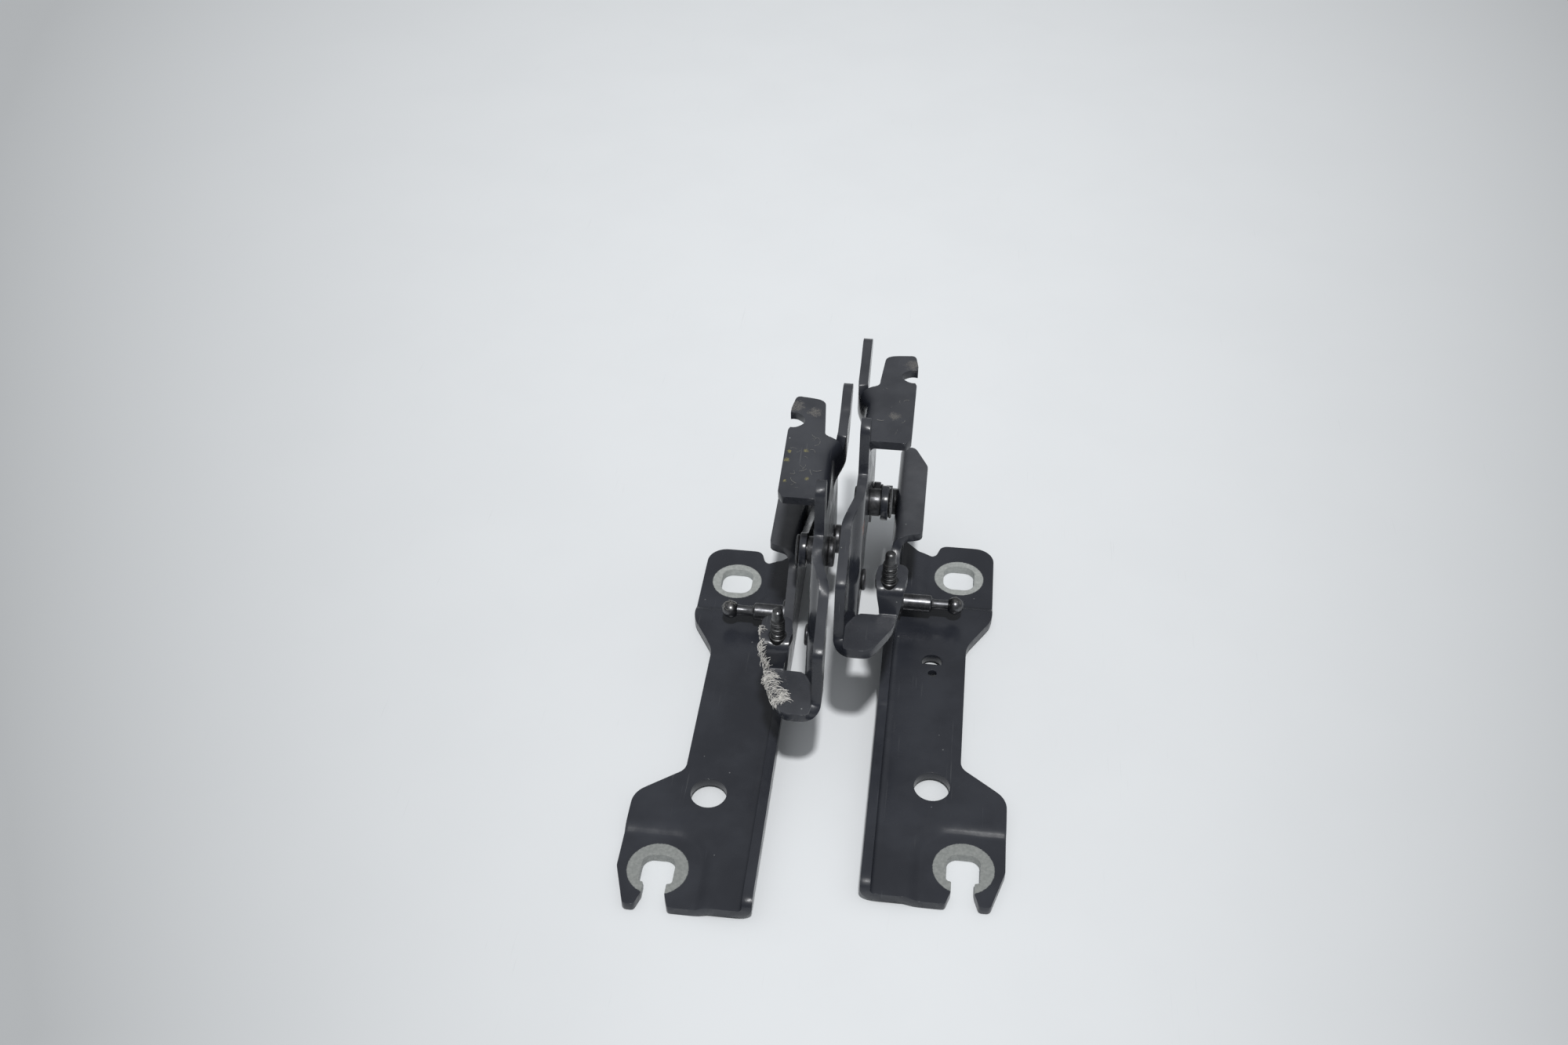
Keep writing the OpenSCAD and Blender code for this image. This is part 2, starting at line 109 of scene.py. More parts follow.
camera_data = bpy.data.cameras.new("photo_camera")
camera_data.lens = LENS_MM
camera_data.sensor_width = SENSOR_MM
camera_data.sensor_fit = "HORIZONTAL"
camera = bpy.data.objects.new("photo_camera", camera_data)
camera.location = CAMERA_AT
camera.rotation_euler = (math.radians(90 - CAMERA_DOWN), 0, math.radians(CAMERA_TURN))
bpy.context.scene.collection.objects.link(camera)
bpy.context.scene.camera = camera
print("camera at", CAMERA_AT)

# %% [markdown]
# Helpers for node trees
#
# Every finish below is a tree of nodes. A tree can be wired by hand in the editor, but written
# out, each node would take several lines. These helpers make a node in one call, and each of its
# inputs is given as a number, a colour or the socket of another node.

# %% Node helpers
def feed(tree, node, inputs):
    """Gives each of these inputs its plain value, or links it to another node's socket."""
    for key, value in inputs.items():
        if isinstance(value, bpy.types.NodeSocket):
            tree.links.new(value, node.inputs[key])
        else:
            node.inputs[key].default_value = value
    return node


def add_node(tree, kind, inputs=None, **settings):
    """A new node with its settings and inputs."""
    node = tree.nodes.new(kind)
    for key, value in settings.items():
        setattr(node, key, value)
    return feed(tree, node, inputs or {})


def math_node(tree, operation, a, b, clamp=False):
    """The result of one Math node."""
    return add_node(tree, "ShaderNodeMath", {0: a, 1: b}, operation=operation, use_clamp=clamp).outputs[0]


def product(tree, *factors):
    """All the factors multiplied."""
    total = factors[0]
    for factor in factors[1:]:
        total = math_node(tree, "MULTIPLY", total, factor)
    return total


def raised(tree, value, mask, amount):
    """value, raised by amount where mask is 1, and held between 0 and 1."""
    return math_node(tree, "ADD", value, product(tree, mask, amount), clamp=True)


def ramp_value(tree, value, low, high, out_low=0.0, out_high=1.0, soft=True):
    """value mapped from low..high to out_low..out_high, and held there."""
    ends = {"Value": value, "From Min": low, "From Max": high, "To Min": out_low, "To Max": out_high}
    kind = "SMOOTHSTEP" if soft else "LINEAR"
    return add_node(tree, "ShaderNodeMapRange", ends, interpolation_type=kind).outputs["Result"]


print("node helpers ready")

# %% Colour and texture helpers
def mix_colour(tree, factor, a, b):
    """Colour a where factor is 0 and b where it is 1."""
    ends = [c if isinstance(c, bpy.types.NodeSocket) else (*c, 1) for c in (a, b)]
    inputs = {0: factor, 6: ends[0], 7: ends[1]}
    return add_node(tree, "ShaderNodeMix", inputs, data_type="RGBA").outputs[2]


def object_coords(tree):
    """Places on the piece itself, which turn and move with it."""
    return add_node(tree, "ShaderNodeTexCoord").outputs["Object"]


def noise(tree, coords, scale, detail=4.0, roughness=0.55):
    """A noise texture's value on these coordinates; scale is in waves a metre."""
    sizes = {"Vector": coords, "Scale": scale, "Detail": detail, "Roughness": roughness}
    return add_node(tree, "ShaderNodeTexNoise", sizes).outputs["Fac"]


def patches(tree, coords, scale, detail, ends, levels=(0.0, 1.0), roughness=0.55):
    """Noise made into soft patches: one level where it is under both ends, the other where it is over."""
    return ramp_value(tree, noise(tree, coords, scale, detail, roughness), *ends, *levels)


def new_material(name):
    """A material with its tree, its shader and the piece's own coordinates."""
    material = bpy.data.materials.new(name)
    material.use_nodes = True
    tree = material.node_tree
    return material, tree, tree.nodes["Principled BSDF"], object_coords(tree)


def use_group(tree, group, **values):
    """An effect group placed in a material with its own values; gives its mask."""
    return add_node(tree, "ShaderNodeGroup", values, node_tree=group).outputs[0]


print("colour helpers ready")

# %% [markdown]
# Effects that several finishes share
#
# Used sheet steel is rubbed along its edges, scratched, dusty and dirty, and one group also paints
# light onto faces turned up. Each effect could be painted on an image. A node group needs none: it
# works in the piece's own coordinates, and every material that uses the group gives it its own
# amounts. A group puts out one mask, and the material chooses the colour. The edges come from the
# mesh, where the rounding steps below write an attribute that is 1 on each rounded edge.

# %% How an effect is made
def mask_group(name, **sizes):
    """A shader node group with these inputs and a Mask; an input without a value is a place."""
    group = bpy.data.node_groups.new(name, "ShaderNodeTree")
    for size, value in sizes.items():
        kind = "NodeSocketVector" if value is None else "NodeSocketFloat"
        socket = group.interface.new_socket(size, in_out="INPUT", socket_type=kind)
        if value is not None:
            socket.default_value = value
    group.interface.new_socket("Mask", in_out="OUTPUT", socket_type="NodeSocketFloat")
    return group, group.nodes.new("NodeGroupInput").outputs


def finish_mask(group, mask):
    """The mask becomes what the group puts out."""
    add_node(group, "NodeGroupOutput", {"Mask": mask})
    print("effect:", group.name)
    return group


print("effect helpers ready")

# %% Edge wear and scratches
SCRATCH_LEAN = (0.3, 0.2)
SCRATCH_TURNS = (18, 74, 131)
SCRATCH_STRETCH = (1400.0, 22.0, 60.0)


def build_edge_wear():
    """Where paint is rubbed off: broken up along the rounded edges."""
    group, given = mask_group("edge_wear", Amount=0.5, Grain=900.0)
    coords = object_coords(group)
    edge = add_node(group, "ShaderNodeAttribute", attribute_name="rounded_edge").outputs["Fac"]
    areas = patches(group, coords, scale=70.0, detail=3.0, ends=(0.42, 0.68))
    broken = patches(group, coords, given["Grain"], detail=5.0, ends=(0.42, 0.62), roughness=0.7)
    return finish_mask(group, product(group, edge, areas, broken, given["Amount"]))


def build_scratches():
    """Thin hairlines in three directions, in patches."""
    group, given = mask_group("fine_scratches", Amount=0.5)
    coords = object_coords(group)
    lines = 0.0
    for turn in SCRATCH_TURNS:
        way = {"Rotation": (*SCRATCH_LEAN, math.radians(turn)), "Scale": SCRATCH_STRETCH}
        drawn = add_node(group, "ShaderNodeMapping", {"Vector": coords, **way}).outputs["Vector"]
        hairs = patches(group, drawn, scale=1.0, detail=2.0, ends=(0.70, 0.76))
        lines = math_node(group, "MAXIMUM", lines, hairs)
    areas = patches(group, coords, scale=45.0, detail=2.0, ends=(0.5, 0.68))
    return finish_mask(group, product(group, lines, areas, given["Amount"]))


EDGE_WEAR = build_edge_wear()
SCRATCHES = build_scratches()

# %% Dust, and painted light on upward faces
# The pale layer on upward faces, partly dust and partly painted light, grows between these heights.
DUST_AND_TOP_LIGHT_HEIGHTS = (0.02, 0.045)


def build_dust():
    """Small pale specks, a few a square centimetre."""
    group, given = mask_group("dust_specks", Amount=0.5, Spacing=260.0)
    grid = {"Vector": object_coords(group), "Scale": given["Spacing"]}
    cells = add_node(group, "ShaderNodeTexVoronoi", grid, feature="F1").outputs
    speck = ramp_value(group, cells["Distance"], 0.05, 0.11, 1.0, 0.0)
    chosen = ramp_value(group, cells["Color"], 0.80, 0.82, soft=False)
    return finish_mask(group, product(group, speck, chosen, given["Amount"]))


def build_dust_and_top_light():
    """A paler layer on faces turned up, more on the high plates than down on the floor: partly dust, partly
    painted light on the tops.
    """
    group, given = mask_group("dust_and_top_light", Amount=0.5)
    surface = add_node(group, "ShaderNodeTexCoord").outputs
    facing, height = (
        add_node(group, "ShaderNodeSeparateXYZ", {"Vector": surface[kind]}).outputs["Z"]
        for kind in ("Normal", "Object")
    )
    up = ramp_value(group, facing, 0.55, 0.98)
    high = ramp_value(group, height, *DUST_AND_TOP_LIGHT_HEIGHTS, 0.08, 1.0)
    clouds = patches(group, surface["Object"], scale=75.0, detail=5.0, ends=(0.3, 0.7), levels=(0.6, 1.0))
    return finish_mask(group, product(group, up, high, clouds, given["Amount"]))


DUST = build_dust()
DUST_AND_TOP_LIGHT = build_dust_and_top_light()

# %% Bare pads and dirt
PAD_RAGGED = 0.8 * MM
PAD_EDGE = (-0.15 * MM, 0.25 * MM)
SPOT_RAGGED = 2.6


def around_zero(tree, coords, scale, detail, roughness=0.55):
    """A noise that is as often below zero as above it."""
    return math_node(tree, "SUBTRACT", noise(tree, coords, scale, detail, roughness), 0.5)


def build_bare_pad():
    """A disc that a washer rubbed bare, with a ragged rim; height doesn't count."""
    group, given = mask_group("bare_pad", Centre=None, Radius=0.012)
    coords = object_coords(group)
    away = add_node(group, "ShaderNodeVectorMath", {0: coords, 1: given["Centre"]}, operation="SUBTRACT")
    flat = add_node(group, "ShaderNodeVectorMath", {0: away.outputs[0], 1: (1, 1, 0)}, operation="MULTIPLY")
    length = add_node(group, "ShaderNodeVectorMath", {0: flat.outputs[0]}, operation="LENGTH")
    ragged = product(group, around_zero(group, coords, 1500.0, 3.0), PAD_RAGGED)
    edge = math_node(group, "ADD", length.outputs["Value"], ragged)
    past = math_node(group, "SUBTRACT", edge, given["Radius"])
    return finish_mask(group, ramp_value(group, past, *PAD_EDGE, 1.0, 0.0))


def build_dirt_spot():
    """One ragged spot of dirt round a place, broken into crumbs."""
    group, given = mask_group("dirt_spot", Centre=None, Radius=0.003)
    coords = object_coords(group)
    away = add_node(group, "ShaderNodeVectorMath", {0: coords, 1: given["Centre"]}, operation="DISTANCE")
    share = math_node(group, "DIVIDE", away.outputs["Value"], given["Radius"])
    ragged = product(group, around_zero(group, coords, 700.0, 6.0, 0.75), SPOT_RAGGED)
    body = ramp_value(group, math_node(group, "ADD", share, ragged), 0.3, 0.95, 1.0, 0.0)
    grains = {"scale": 2600.0, "detail": 3.0, "roughness": 0.7}
    crumbs = patches(group, coords, ends=(0.44, 0.6), levels=(0.15, 1.0), **grains)
    return finish_mask(group, product(group, body, crumbs))


BARE_PAD = build_bare_pad()
DIRT_SPOT = build_dirt_spot()

# %% [markdown]
# Table and light
#
# The hinges lie on a pale, slightly blue table under one far lamp in front of and above them. A
# set of soft boxes could light them, but the shadows under the two feet are short and crisp, so
# the lamp is one sun, and a room with a pale ceiling fills the rest. The table's colour is darkened
# to both sides as painted shade, worked out from the distance to its middle line.

# %% Table
TABLE_COLOUR = (0.85, 0.872, 0.89)
TABLE_MOTTLE = (0.55, 0.57, 0.59)
TABLE_SCRATCH = (0.5, 0.52, 0.54)
TABLE_MIDDLE = (-0.005, 0.117, 0.0)
# The painted shade on the table: how fast it darkens away from the middle line, and how dark it may get.
TABLE_SHADE_FALLOFF = 2.4
TABLE_STRETCH = 3.0
TABLE_NARROW = 0.72
TABLE_DIM = 0.55
TABLE_HALF = 8.0
TABLE_DROP = 0.0002


def table_material():
    """Pale laminate with faint hairlines, with painted shade that darkens it to both sides, later the further back
    it lies.
    """
    material, tree, shader, coords = new_material("pale_table")
    seen = {"Location": TABLE_MIDDLE, "Rotation": (0, 0, math.radians(CAMERA_TURN)), "Vector": coords}
    place = add_node(tree, "ShaderNodeMapping", seen, vector_type="TEXTURE").outputs["Vector"]
    side, back, _ = add_node(tree, "ShaderNodeSeparateXYZ", {"Vector": place}).outputs
    # Painted shade: the table's colour darkens with distance from its middle line, as if the light fell off,
    # widening further back.
    wide = math_node(tree, "MAXIMUM", math_node(tree, "ADD", back, 1.0), TABLE_NARROW)
    across = math_node(tree, "DIVIDE", side, wide)
    along = math_node(tree, "DIVIDE", back, TABLE_STRETCH)
    square = math_node(tree, "ADD", product(tree, across, across), product(tree, along, along))
    painted_shade = math_node(tree, "SUBTRACT", 1.0, product(tree, square, TABLE_SHADE_FALLOFF))
    lit = mix_colour(tree, math_node(tree, "MAXIMUM", painted_shade, TABLE_DIM), (0, 0, 0), TABLE_COLOUR)
    mottle = patches(tree, coords, scale=14.0, detail=5.0, ends=(0.35, 0.7), levels=(0.0, 0.05))
    colour = mix_colour(tree, mottle, lit, TABLE_MOTTLE)
    colour = mix_colour(tree, use_group(tree, SCRATCHES, Amount=0.16), colour, TABLE_SCRATCH)
    feed(tree, shader, {"Base Color": colour, "Roughness": 0.55, "Specular IOR Level": 0.2})
    return material


table_mesh = bpy.data.meshes.new("table")
corners = [(x * TABLE_HALF, y * TABLE_HALF, -TABLE_DROP) for x, y in ((-1, -1), (1, -1), (1, 1), (-1, 1))]
table_mesh.from_pydata(corners, [], [(0, 1, 2, 3)])
table = bpy.data.objects.new("table", table_mesh)
table_mesh.materials.append(table_material())
bpy.context.scene.collection.objects.link(table)
print("table", 2 * TABLE_HALF, "m wide")

# %% Lamp and room
LAMP_TILT = 23.0
LAMP_SIDE = 4.0
LAMP_ANGLE = 4.0
LAMP_STRENGTH = 2.12
ROOM_COLOUR = (0.95, 0.975, 1.0)
ROOM_LOW = 0.10
ROOM_HIGH = 0.46

lamp_data = bpy.data.lights.new("front_lamp", "SUN")
lamp_data.angle = math.radians(LAMP_ANGLE)
lamp_data.energy = LAMP_STRENGTH
lamp = bpy.data.objects.new("front_lamp", lamp_data)
lamp.rotation_euler = (math.radians(LAMP_TILT), math.radians(LAMP_SIDE), 0)
bpy.context.scene.collection.objects.link(lamp)

world = bpy.data.worlds.new("pale_room")
world.use_nodes = True
room = world.node_tree
looking = add_node(room, "ShaderNodeTexCoord").outputs["Generated"]
upward = add_node(room, "ShaderNodeSeparateXYZ", {"Vector": looking}).outputs["Z"]
level = ramp_value(room, upward, 0.0, 1.0, ROOM_LOW, ROOM_HIGH, soft=False)
feed(room, room.nodes["Background"], {"Color": (*ROOM_COLOUR, 1), "Strength": level})
bpy.context.scene.world = world
bpy.context.scene.view_settings.view_transform = "Standard"
print("lamp leans", LAMP_TILT, "degrees to the front")

# %% [markdown]
# The black paint
#
# Hinges are dipped in a black primer that dries satin and slightly blue, with a faint orange
# peel. One flat black would look like plastic, and an image would have to be unwrapped onto every
# bend. So the paint is built up in layers on the piece's own coordinates: two blacks in clouds,
# then scratches, rubbed edges, a pale layer on upward faces that is partly dust and partly painted
# light, dust specks and dirt, and last the pads that washers have rubbed to zinc.

# %% Paint material
PAINT = (0.019, 0.021, 0.028)
PAINT_PALE = (0.029, 0.032, 0.041)
# Colour of the pale layer on upward faces: partly dust, partly painted light on the tops.
DUST_AND_TOP_LIGHT_COLOUR = (0.195, 0.20, 0.21)
RUBBED = (0.17, 0.175, 0.18)
DUST_COLOUR = (0.30, 0.31, 0.31)
ZINC = (0.29, 0.305, 0.295)
ZINC_PALE = (0.39, 0.405, 0.39)
BUMP_DEPTH = 0.2 * MM
PAINT_BUMP = 0.12
TORN_BUMP = 5.0
PAD_SINK = -1.2


def bumped(tree, height, strength):
    """A normal for this height over the surface."""
    sizes = {"Height": height, "Strength": strength, "Distance": BUMP_DEPTH}
    return add_node(tree, "ShaderNodeBump", sizes).outputs["Normal"]


def black_paint(name, wear=0.6, scratch=0.35, dust=0.6, top_dust_and_light=0.32, gloss=0.18, pads=(), spots=()):
    """Satin black dip paint; pads are (place, radius, tone) and dirt spots (place, radius, colour)."""
    material, tree, shader, coords = new_material(name)
    clouds = patches(tree, coords, scale=38.0, detail=4.0, ends=(0.35, 0.72))
    colour = mix_colour(tree, clouds, PAINT, PAINT_PALE)
    sheen = (gloss, gloss + 0.14)
    roughness = patches(tree, coords, scale=90.0, detail=5.0, ends=(0.3, 0.75), levels=sheen)
    # Each layer is where it lies, its colour, and how much duller it makes the paint
    layers = [
        (use_group(tree, SCRATCHES, Amount=scratch), RUBBED, 0.0),
        (use_group(tree, EDGE_WEAR, Amount=wear, Grain=900.0), RUBBED, 0.0),
        # A pale layer on upward faces: partly dust, partly painted light on the tops.
        (use_group(tree, DUST_AND_TOP_LIGHT, Amount=top_dust_and_light), DUST_AND_TOP_LIGHT_COLOUR, 0.25),
        (use_group(tree, DUST, Amount=dust, Spacing=260.0), DUST_COLOUR, 0.3),
    ]
    layers += [(use_group(tree, DIRT_SPOT, Centre=at, Radius=r), dirt, 0.35) for at, r, dirt in spots]
    for mask, tint, dull in layers:
        colour = mix_colour(tree, mask, colour, tint)
        roughness = raised(tree, roughness, mask, dull)
    torn = add_node(tree, "ShaderNodeAttribute", attribute_name="sheared_edge").outputs["Fac"]
    roughness = raised(tree, roughness, torn, 0.08)
    tearing = product(tree, noise(tree, coords, 420.0, 4.0, 0.6), torn, TORN_BUMP)
    height = math_node(tree, "ADD", product(tree, noise(tree, coords, 850.0, 3.0), 0.5), tearing)
    for place, radius, tone in pads:
        pad = use_group(tree, BARE_PAD, Centre=place, Radius=radius)
        grain = patches(tree, coords, scale=700.0, detail=5.0, ends=(0.35, 0.7), roughness=0.7)
        zinc = mix_colour(tree, grain, [c * tone for c in ZINC], [c * tone for c in ZINC_PALE])
        colour = mix_colour(tree, pad, colour, zinc)
        roughness = raised(tree, roughness, pad, 0.2)
        height = math_node(tree, "ADD", height, product(tree, pad, PAD_SINK))
    finish = {"Base Color": colour, "Roughness": roughness, "Normal": bumped(tree, height, PAINT_BUMP)}
    feed(tree, shader, {**finish, "Specular IOR Level": 0.5})
    return material


print("paint ready")

# %% [markdown]
# Bare and dark steel
#
# Rivets, washers and studs are phosphated steel, dark grey with a paler rub on every edge. Plain
# metal would mirror the room like chrome. A fine grain in colour, roughness and height breaks the
# mirror up, and the same edge wear and dirt as on the paint make the pieces belong together.

# %% Dark steel material
STEEL_RUBBED = (0.38, 0.38, 0.37)


def dark_steel(name, colour, pale, gloss=0.32, metal=0.75, spots=(), bumps=0.15):
    """Dark phosphated steel, rubbed paler in places, with dirt spots."""
    material, tree, shader, coords = new_material(name)
    grain = patches(tree, coords, scale=420.0, detail=5.0, ends=(0.38, 0.72), roughness=0.65)
    base = mix_colour(tree, grain, colour, pale)
    base = mix_colour(tree, use_group(tree, EDGE_WEAR, Amount=0.8, Grain=1300.0), base, STEEL_RUBBED)
    for place, radius, dirt in spots:
        base = mix_colour(tree, use_group(tree, DIRT_SPOT, Centre=place, Radius=radius), base, dirt)
    sheen = (gloss, gloss + 0.2)
    roughness = patches(tree, coords, scale=260.0, detail=4.0, ends=(0.3, 0.7), levels=sheen)
    normal = bumped(tree, noise(tree, coords, 1100.0, 3.0), bumps)
    feed(tree, shader, {"Base Color": base, "Roughness": roughness, "Normal": normal, "Metallic": metal})
    return material


RIVET_STEEL = dark_steel("rivet_steel", (0.05, 0.051, 0.055), (0.12, 0.12, 0.125))
STUD_STEEL = dark_steel("stud_steel", (0.075, 0.076, 0.08), (0.15, 0.15, 0.15), 0.25, 0.85)
print("steel ready")

# %% [markdown]
# Rounding rivets and links
#
# A headed rivet or a blanked link has no sharp corner. The CAD solids have the right outlines but
# sharp edges. A Bevel modifier could round them; bmesh's own bevel also says which faces it made,
# so these can be marked for the edge wear. Each piece is a copy of its node, with the loose
# triangles merged into whole faces first, because a bevel needs edges that faces share.

# %% Mesh helpers
def link_object(name, mesh):
    """The mesh as an object of the scene."""
    obj = bpy.data.objects.new(name, mesh)
    bpy.context.scene.collection.objects.link(obj)
    return obj


def as_mesh(name, bm):
    """The bmesh as a mesh; the bmesh is used up."""
    mesh = bpy.data.meshes.new(name)
    bm.to_mesh(mesh)
    bm.free()
    return mesh


def shade(mesh, crisp=None):
    """Smooth shading, but crisp where faces meet at more than this many degrees."""
    mesh.polygons.foreach_set("use_smooth", [True] * len(mesh.polygons))
    if crisp:
        mesh.set_sharp_from_angle(angle=math.radians(crisp))
    print(mesh.name, "has", len(mesh.polygons), "faces")


def bevel(bm, edges, radius, steps):
    """Rounds the edges and marks the new faces as rounded; gives these faces."""
    mark = bm.faces.layers.float["rounded_edge"]
    made = bmesh.ops.bevel(
        bm, geom=edges, offset=radius, offset_type="OFFSET", segments=steps, profile=0.5,
        affect="EDGES", clamp_overlap=True,
    )
    for face in made["faces"]:
        face[mark] = 1.0
    return made["faces"]


print("mesh helpers ready")

# %% Rounded copies
EDGE_R = 0.35 * MM
HEAD_R = 0.8 * MM
EDGE_STEPS = 3
SHARP = math.radians(28)
FLAT = math.radians(0.6)
MERGE = 0.002 * MM


def rounded_copy(node, name, edge_r=EDGE_R):
    """A copy of a node with its sharp edges rounded."""
    bm = bmesh.new()
    bm.from_mesh(nodes[node].data)
    bmesh.ops.remove_doubles(bm, verts=bm.verts, dist=MERGE)
    bmesh.ops.dissolve_limit(bm, angle_limit=FLAT, verts=bm.verts, edges=bm.edges)
    bm.faces.layers.float.new("rounded_edge")
    shared = [e for e in bm.edges if len(e.link_faces) == 2]
    bevel(bm, [e for e in shared if e.calc_face_angle(0.0) > SHARP], edge_r, EDGE_STEPS)
    bmesh.ops.triangulate(bm, faces=[f for f in bm.faces if len(f.verts) > 4])
    mesh = as_mesh(name, bm)
    shade(mesh, crisp=40)
    return link_object(name, mesh)


def dress(obj, node, body, material):
    """The piece takes a material, rides on its body and stands for its node."""
    obj.data.materials.clear()
    obj.data.materials.append(material)
    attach(obj, body)
    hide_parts(node)


print("heads rounded by", HEAD_R / MM, "mm and other edges by", EDGE_R / MM, "mm")

# %% [markdown]
# Sheet steel, cut flat and bent
#
# Brackets and arms are stampings. They could be built from boxes with bevelled edges, but every
# bend would then need its own care. So they are made as a press makes them: an outline is cut from
# flat sheet, and a rule says where each point of the flat sheet ends up once it is bent. The bends
# then get their true radius, the same thickness everywhere, and soft bright bands where the light
# catches them. All sizes in these cells are millimetres in the hinge's own frame.

# %% Outlines
SHEET = 4.0
RIM_STEP = 1.2
BEND_R = 4.0
BEND_L = BEND_R * math.pi / 2


def arc(x, y, radius, start, end):
    """Points of an arc from one angle to another, in degrees, as corners without rounding."""
    count = max(6, round(abs(math.radians(end - start)) * radius / RIM_STEP))
    turns = [math.radians(start + (end - start) * i / count) for i in range(count + 1)]
    return [(x + radius * math.cos(t), y + radius * math.sin(t), 0) for t in turns]


def circle(x, y, radius):
    """A round hole's outline."""
    return [Vector(p[:2]) for p in arc(x, y, radius, 0, 360)[:-1]]


def corner_points(last, here, following, radius):
    """One corner of an outline, rounded."""
    if radius == 0:
        return [here]
    back, on = (last - here).normalized(), (following - here).normalized()
    half = back.angle(on) / 2
    middle = here + (back + on).normalized() * radius / math.sin(half)
    start, end = (here + way * radius / math.tan(half) - middle for way in (back, on))
    first = math.atan2(start.y, start.x)
    sweep = (math.atan2(end.y, end.x) - first + 3 * math.pi) % (2 * math.pi) - math.pi
    count = max(3, round(abs(sweep) * radius / RIM_STEP))
    turns = [first + sweep * i / count for i in range(count + 1)]
    return [middle + radius * Vector((math.cos(t), math.sin(t))) for t in turns]


def rounded(corners):
    """A closed outline of (x, y, corner radius), as points no further apart than the rim step."""
    places = [Vector(c[:2]) for c in corners]
    path = []
    for i, corner in enumerate(corners):
        path += corner_points(places[i - 1], places[i], places[(i + 1) % len(places)], corner[2])
    filled = []
    for i, point in enumerate(path):
        following = path[(i + 1) % len(path)]
        steps = max(1, math.ceil((following - point).length / RIM_STEP - 1e-6))
        filled += [point.lerp(following, k / steps) for k in range(steps)]
    return filled


print("sheet", SHEET, "mm, bends", BEND_R, "mm at mid sheet")

# %% Filling an outline
GRID_STEP = 1.3
RIM_CLEAR = 0.6 * GRID_STEP


def inside(points, outline):
    """Which of the points lie inside a closed outline."""
    x, y = points[:, 0], points[:, 1]
    result = np.zeros(len(points), bool)
    for a, b in zip(outline, outline[1:] + outline[:1]):
        crosses = (a.y > y) != (b.y > y)
        with np.errstate(divide="ignore", invalid="ignore"):
            at = (b.x - a.x) * (y - a.y) / (b.y - a.y) + a.x
        result ^= crosses & (x < at)
    return result


def on_blank(points, outline, holes):
    """Which of the points lie on the sheet: inside the outline and in none of its holes."""
    keep = inside(points, outline)
    for hole in holes:
        keep &= ~inside(points, hole)
    return keep


def fill(outline, holes):
    """Points and triangles that fill a flat outline and leave its holes open."""
    loops = [outline] + holes
    rim = np.array([p[:] for loop in loops for p in loop])
    across, along = (np.arange(rim[:, k].min(), rim[:, k].max(), GRID_STEP) for k in (0, 1))
    grid = np.array([(x, y) for x in across for y in along])
    grid = grid[on_blank(grid, outline, holes)]
    near = np.array([np.min(np.sum((rim - p) ** 2, axis=1)) for p in grid])
    grid = grid[near > RIM_CLEAR**2]
    edges, start = [], 0
    for loop in loops:
        edges += [(start + i, start + (i + 1) % len(loop)) for i in range(len(loop))]
        start += len(loop)
    points = [Vector(p) for p in rim] + [Vector(p) for p in grid]
    made = delaunay_2d_cdt(points, edges, [], 0, 1e-4)
    flat, faces = np.array([p[:] for p in made[0]]), np.array(made[2])
    return flat, faces[on_blank(flat[faces].mean(axis=1), outline, holes)]


print("blanks filled on a grid of", GRID_STEP, "mm")

# %% Bending
NUDGE = 0.01
SEAM = 0.02


def bend_normal(place, a, b):
    """The bent sheet's normal at a flat point."""
    along = place(a + NUDGE, b) - place(a - NUDGE, b)
    across = place(a, b + NUDGE) - place(a, b - NUDGE)
    return along.cross(across).normalized()


def place_key(vert):
    """A vertex's place, rounded, to look its normal up by."""
    return tuple(round(c, 3) for c in vert.co)


def bent_sheet(name, regions, to_row, mirrored):
    """A solid sheet; regions are (outline, holes, place), and to_row takes hinge millimetres to the row."""
    bm = bmesh.new()
    normals = {}
    for outline, holes, place in regions:
        flat, faces = fill(outline, holes)
        bent = [bm.verts.new(place(a, b)) for a, b in flat]
        normals.update({place_key(vert): bend_normal(place, a, b) for (a, b), vert in zip(flat, bent)})
        for face in faces:
            corner = flat[face]
            one, two = corner[1] - corner[0], corner[2] - corner[0]
            order = face if one[0] * two[1] - one[1] * two[0] > 0 else face[::-1]
            bm.faces.new([bent[i] for i in order])
    bmesh.ops.remove_doubles(bm, verts=bm.verts, dist=SEAM)
    return thickened(name, bm, normals, to_row, mirrored)


print("regions of a sheet are sewn where they meet within", SEAM, "mm")

# %% Thickness
RIM_R = 0.45
RIM_STEPS = 2


def thickened(name, middle, normals, to_row, mirrored):
    """Two skins half a sheet off the middle surface, joined round every rim and softened there."""
    bm = bmesh.new()
    for mark in ("sheared_edge", "rounded_edge"):
        bm.faces.layers.float.new(mark)
    sheared = bm.faces.layers.float["sheared_edge"]
    skins = [
        {v: bm.verts.new(to_row(v.co + way * SHEET / 2 * normals[place_key(v)])) for v in middle.verts}
        for way in (1, -1)
    ]
    for face in middle.faces:
        top, under = ([skin[v] for v in face.verts] for skin in skins)
        bm.faces.new(top)
        bm.faces.new(under[::-1])
    rims = []
    for edge in middle.edges:
        if len(edge.link_faces) == 1:
            loop = edge.link_loops[0]
            a, b = loop.vert, loop.link_loop_next.vert
            wall = bm.faces.new((skins[0][b], skins[0][a], skins[1][a], skins[1][b]))
            wall[sheared] = 1.0
            rims += [bm.edges.get((skin[a], skin[b])) for skin in skins]
    middle.free()
    for face in bevel(bm, rims, RIM_R * MM, RIM_STEPS):
        face[sheared] = 0.0
    if mirrored:
        bmesh.ops.reverse_faces(bm, faces=bm.faces)
    mesh = as_mesh(name, bm)
    shade(mesh, crisp=50)
    return link_object(name, mesh)


